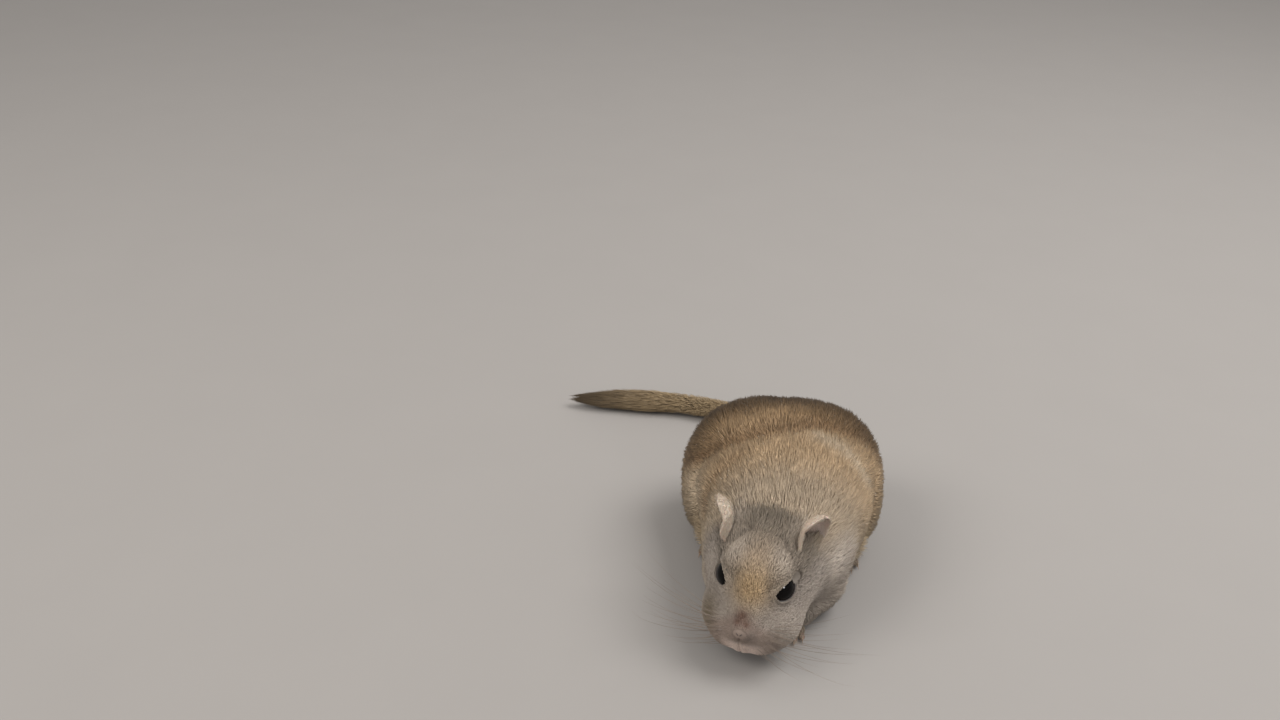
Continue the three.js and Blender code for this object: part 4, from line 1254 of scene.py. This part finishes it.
def body_density(p):
    """Tufts to the square millimetre."""
    dense = np.interp(to_head(p)[:, 1], (-20, -15, -10, -4, 6, 14), (31, 27, 18, 14, 12, 9.2))
    return dense * np.interp(p[:, 2], (3, 10), (0.6, 1))


def body_keep(p):
    h = to_head(p)
    keep = np.linalg.norm((h - NOSE_CENTRE) / NOSE_RADII, axis=1) > 1.12
    for _, side in SIDES:
        near = np.linalg.norm(p - eye_place(side), axis=1) < 9
        keep &= (opening_share(p, side) > BARE_TO) | ~near
    near = h[:, 1] < -6
    keep[near] &= distance_to(p[near], mouth_line) > 0.35
    return keep & (p[:, 2] > 0.3)


def lid_density(p, side):
    return LID_DENSITY * (np.abs(opening_share(p, side) - LID_TUFTS_AT) < LID_TUFTS_SPREAD)


roots, normals = scatter(body_mesh, body_density, body_keep)
for lid, (_, side) in zip(lid_meshes, SIDES):
    more, more_normals = scatter(lid, lambda p: lid_density(p, side))
    roots, normals = np.vstack([roots, more]), np.vstack([normals, more_normals])

along = to_head(roots)[:, 1]
eye_fronts = [eye_place(side) + eye_axes(side)[0] * 2.5 for _, side in SIDES]
eye_reach = np.min([np.linalg.norm(roots - place, axis=1) for place in eye_fronts], 0)
near_eye = ramp(eye_reach, 3.6, 8.0)
length = np.interp(along, (-20, -15, -9, -2, 6, 13), (0.7, 1.1, 1.7, 2.5, 3.8, 5.6))
length *= (0.55 + 0.45 * near_eye) * rng.uniform(0.75, 1.2, len(roots))
length *= np.interp(roots[:, 2], (1, 14), (0.45, 1))
rise = coat_depth(roots) * rng.uniform(0.55, 1.0, len(roots)) * (0.5 + 0.5 * near_eye)
width = np.interp(along, (-20, -12, -2, 10), (0.155, 0.19, 0.24, 0.29)) * rng.uniform(0.8, 1.2, len(roots))
lie = lie_of_coat(roots, normals)
colour = coat_colour(roots)

in_front = along < 9.5
groups = {
    "coat_face": along < -4.5,
    "coat_crown": in_front & (along >= -4.5),
    "coat_neck": ~in_front & (roots[:, 1] < -1),
    "coat_back": ~in_front & (roots[:, 1] >= -1) & (roots[:, 2] > 25),
    "coat_flanks": ~in_front & (roots[:, 1] >= -1) & (roots[:, 2] <= 25),
}
TUFTS_IN_PIECE = 19500
for name, member in groups.items():
    of_head = name in ("coat_face", "coat_crown")
    order = np.flatnonzero(member)
    order = order[np.argsort(roots[order, 0])]
    parts = np.array_split(order, math.ceil(len(order) / TUFTS_IN_PIECE))
    for k, part in enumerate(parts):
        p = roots[part]
        tick = (0.02, 0.04, 0.9) if name == "coat_face" else (0.08, 0.08, 0.8) if of_head else (0.1, 0.08)
        locks = (4, 0.15) if of_head else (6, 0.28)
        unrolled = unroll(p, HEAD_CENTRE, HEAD_TURN) if of_head else unroll(p, (0, 8, 22))
        tuft_piece(f"{name}_{k + 1}", p, normals[part], lie[part], length[part], rise[part], width[part],
                   tuft_colours(p, colour[part], *tick), unrolled,
                   locks=locks)


# %% [markdown]
# ## The coat of tail, feet and ears
# The tail's hairs lie close at its root and grow longer and darker towards the tip, where they make a
# brush. Feet and ears have only a thin down.

# %% Tail coat
def tail_roots(count):
    """Roots on the tail's core, with the share of the tail that each has behind it."""
    share = np.sort(rng.random(count)) ** 0.92
    at = share * (len(tail_line) - 1)
    low = np.minimum(at.astype(int), len(tail_line) - 2)
    part = (at - low)[:, None]
    centre = tail_line[low] * (1 - part) + tail_line[low + 1] * part
    tangent = unit(tail_line[low + 1] - tail_line[low])
    across = unit(np.cross((0, 0, 1), tangent))
    through = np.cross(tangent, across)
    turn = rng.uniform(0, 2 * np.pi, count)
    normal = np.cos(turn)[:, None] * across + np.sin(turn)[:, None] * through
    radius = np.interp(share, tail_share, tail_core_radius)
    return centre + normal * radius[:, None], normal, tangent, share, turn


def brush_envelope(reach):
    """How far the brush's outline is from the tail's middle, for places past the tail's end in mm."""
    return np.interp(reach, (-40, -20, -12, 0, 8, 14), (3.9, 3.95, 4.4, 3.7, 2.3, 0.8))


TAIL_LENGTH = float(np.linalg.norm(np.diff(tail_line, axis=0), axis=1).sum())
p, n, tangent, share, turn = tail_roots(18000)
brush = ramp(share, 0.66, 0.9)
tail_length = (2.8 + 9.0 * brush) * rng.uniform(0.75, 1.2, len(p))
past_end = share * TAIL_LENGTH + tail_length - TAIL_LENGTH
outline = np.where(share < 0.6, TAIL_RADIUS * (1.0 - 0.2 * share), brush_envelope(past_end))
tail_rise = outline * rng.uniform(0.55, 1.0, len(p)) - np.interp(share, tail_share, tail_core_radius)
tuft_piece("coat_tail", p, n, tangent, tail_length, tail_rise, rng.uniform(0.16, 0.26, len(p)),
           tuft_colours(p, coat_colour(p), 0.1, 0.06), np.stack([turn / (2 * np.pi), share], 1),
           locks=(5, 0.2))

# %% Down on feet and ears
FOOT_DENSITY, EAR_DENSITY = 11, 9.0
roots, normals = [], []
for foot in foot_meshes:
    r, n = scatter(foot, lambda p: FOOT_DENSITY * ramp(p[:, 2], 0.5, 1.8))
    roots.append(r)
    normals.append(n)
p, n = np.vstack(roots), np.vstack(normals)
down_way = np.tile((0.0, -1.0, -0.15), (len(p), 1)) + rng.normal(0, 0.15, (len(p), 3))
down_way = unit(down_way - n * (down_way * n).sum(1, keepdims=True))
size = rng.uniform(0.7, 1.25, len(p))
pale = LIMB_PALE * (1 + 0.1 * rng.normal(size=(len(p), 1)))
tuft_piece("coat_feet", p, n, down_way, 1.1 * size, 0.22 * size, 0.16 * size, tuft_colours(p, pale),
           np.stack([p[:, 0], p[:, 1]], 1), sink=0.1)

roots, normals = [], []
for ear, (_, side) in zip(ear_meshes, SIDES):
    r, n = scatter(ear, lambda p: np.full(len(p), EAR_DENSITY), lambda p: flesh_form(p) > -0.8)
    roots.append(r)
    normals.append(n)
p, n = np.vstack(roots), np.vstack(normals)
ear_way = np.tile(head_way(0, 0.25, 1), (len(p), 1)) + rng.normal(0, 0.2, (len(p), 3))
ear_way = unit(ear_way - n * (ear_way * n).sum(1, keepdims=True))
size = rng.uniform(0.6, 1.3, len(p))
ear_tone = np.tile(EAR_BACK, (len(p), 1)) * (1 + 0.04 * rng.normal(size=(len(p), 1)))
tuft_piece("coat_ears", p, n, ear_way, 0.9 * size, 0.16 * size, 0.11 * size,
           tuft_colours(p, ear_tone, root_shade=0.9, spread=0.04),
           unroll(p, HEAD_CENTRE, HEAD_TURN), sink=0.08, locks=(3, 0.05))
print("coat:", coat_triangles, "triangles in all")

# %% [markdown]
# ## Whiskers
# A whisker is a stiff hair that swells at its root and tapers to nothing. Each is first a curve of a few
# points with a radius at each one. A Geometry Nodes tree then runs a small circle along all of them, with
# inputs for its thickness and number of sides, and the result is kept as a plain mesh.

# %% Whisker curves
WHISKER_ROWS = 5
WHISKERS_IN_ROW = 5
WHISKER_RADIUS = 0.00008  # m, at the thickest place
curve = bpy.data.curves.new("whisker_lines", "CURVE")
curve.dimensions = "3D"
for _, side in SIDES:
    for row in range(WHISKER_ROWS):
        for column in range(WHISKERS_IN_ROW):
            down, behind = row / (WHISKER_ROWS - 1), column / (WHISKERS_IN_ROW - 1)
            on_pad = (side * (4.4 + 2.4 * behind), -18.4 + 3.4 * behind, -3.2 - 5.0 * down)
            root = settle(in_head([on_pad]), flesh_form)
            root = settle(root, flesh_form, coat_depth(root) + 0.2)[0]
            backward = -0.5 + 0.45 * behind + rng.normal(0, 0.1)
            rising = 0.3 - 0.62 * down + rng.normal(0, 0.08)
            way = head_way(side, backward, rising)
            reach = (9 + 15 * behind) * rng.uniform(0.8, 1.15)
            fall = head_way(side * 0.1, 0.9, -0.25)
            t = np.linspace(0, 1, 8)[:, None]
            line = root + way * reach * t + fall * reach * 0.3 * t**2
            line[:, 2] = np.maximum(line[:, 2], 0.3)
            spline_ = curve.splines.new("POLY")
            spline_.points.add(len(line) - 1)
            for point, place, share in zip(spline_.points, to_frame(line), t[:, 0]):
                point.co = (*place, 1)
                point.radius = 1.05 - share
whisker_lines = object_from("whiskers", curve)
print("whiskers:", len(curve.splines))

# %% Whisker tree
tree = bpy.data.node_groups.new("thread_along_curves", "GeometryNodeTree")
tree.interface.new_socket("Geometry", in_out="INPUT", socket_type="NodeSocketGeometry")
thickness = tree.interface.new_socket("Thickness", in_out="INPUT", socket_type="NodeSocketFloat")
sides = tree.interface.new_socket("Sides", in_out="INPUT", socket_type="NodeSocketInt")
finish_in = tree.interface.new_socket("Finish", in_out="INPUT", socket_type="NodeSocketMaterial")
tree.interface.new_socket("Geometry", in_out="OUTPUT", socket_type="NodeSocketGeometry")
enter, leave = tree.nodes.new("NodeGroupInput"), tree.nodes.new("NodeGroupOutput")
smooth = tree.nodes.new("GeometryNodeResampleCurve")
smooth.inputs["Count"].default_value = 14
circle = tree.nodes.new("GeometryNodeCurvePrimitiveCircle")
sweep = tree.nodes.new("GeometryNodeCurveToMesh")
sweep.inputs["Fill Caps"].default_value = True
radius = tree.nodes.new("GeometryNodeInputRadius")
realize = tree.nodes.new("GeometryNodeRealizeInstances")
dress = tree.nodes.new("GeometryNodeSetMaterial")
tree.links.new(enter.outputs["Geometry"], smooth.inputs["Curve"])
tree.links.new(enter.outputs["Thickness"], circle.inputs["Radius"])
tree.links.new(enter.outputs["Sides"], circle.inputs["Resolution"])
tree.links.new(smooth.outputs["Curve"], sweep.inputs["Curve"])
tree.links.new(circle.outputs["Curve"], sweep.inputs["Profile Curve"])
if "Scale" in sweep.inputs:  # where it is missing, the curve's radius counts by itself
    tree.links.new(radius.outputs["Radius"], sweep.inputs["Scale"])
tree.links.new(sweep.outputs["Mesh"], realize.inputs["Geometry"])
tree.links.new(realize.outputs["Geometry"], dress.inputs["Geometry"])
tree.links.new(enter.outputs["Finish"], dress.inputs["Material"])
tree.links.new(dress.outputs["Geometry"], leave.inputs["Geometry"])
grow = whisker_lines.modifiers.new("grow", "NODES")
grow.node_group = tree
grow[thickness.identifier] = WHISKER_RADIUS
grow[sides.identifier] = 5
grow[finish_in.identifier] = whisker_finish
whisker_mesh = evaluated_mesh(whisker_lines)
bpy.data.objects.remove(whisker_lines)
piece_from("whiskers", closed_outward(whisker_mesh), whisker_finish)
print("whisker mesh:", len(whisker_mesh.polygons), "faces")

# %% [markdown]
# ## Floor and light
# The floor is plain and pale. Soft light wraps a furred body best: one large window above and behind the
# animal's left, a weaker one from its right, and a pale sky that fills the shadows. A small lamp in front
# shows only in glossy surfaces: it puts the spark in the eye, which makes the animal look alive.

# %% Floor
bm = bmesh.new()
bmesh.ops.create_circle(bm, cap_ends=True, segments=64, radius=4)
floor_mesh = bpy.data.meshes.new("floor")
bm.to_mesh(floor_mesh)
bm.free()
floor_mesh.materials.append(finish_of("pale_floor", 0.8, colour=paint(150, 146, 143), grain=(30.0, 0.02)))
floor = object_from("floor", floor_mesh)
print("floor:", round(floor.dimensions.x, 1), "m across")


# %% Lights
def soft_light(name, place, target, size, watts, colour, on_fur):
    lamp = bpy.data.lights.new(name, "AREA")
    lamp.size = size
    lamp.energy = watts
    lamp.color = colour
    made = object_from(name, lamp)
    made.visible_diffuse = on_fur
    made.location = place
    made.rotation_euler = (Vector(target) - Vector(place)).to_track_quat("-Z", "Y").to_euler()


MIDDLE_OF_BACK = (0.02, -0.02, 0.03)
LEFT_EYE = (0.0192, -0.0577, 0.0253)
LAMPS = (  # name, place, what it shines at, size in m, power in W, colour, whether it lights more than gloss
    ("window_left", (0.45, 0.10, 0.75), MIDDLE_OF_BACK, 0.5, 5.6, (1.0, 0.985, 0.96), True),
    ("spark", (0.381, -0.616, 0.469), LEFT_EYE, 0.15, 7.0, (1.0, 1.0, 1.0), False),
    ("window_right", (-0.55, -0.25, 0.65), MIDDLE_OF_BACK, 0.4, 3.3, (1.0, 0.97, 0.92), True),
)
SKY_COLOUR = (0.9, 0.88, 0.86, 1)
SKY_STRENGTH = 0.62
for lamp in LAMPS:
    soft_light(*lamp)
world = bpy.data.worlds.new("studio")
world.use_nodes = True
world.node_tree.nodes["Background"].inputs["Color"].default_value = SKY_COLOUR
world.node_tree.nodes["Background"].inputs["Strength"].default_value = SKY_STRENGTH
bpy.context.scene.world = world
bpy.context.scene.view_settings.view_transform = "Standard"
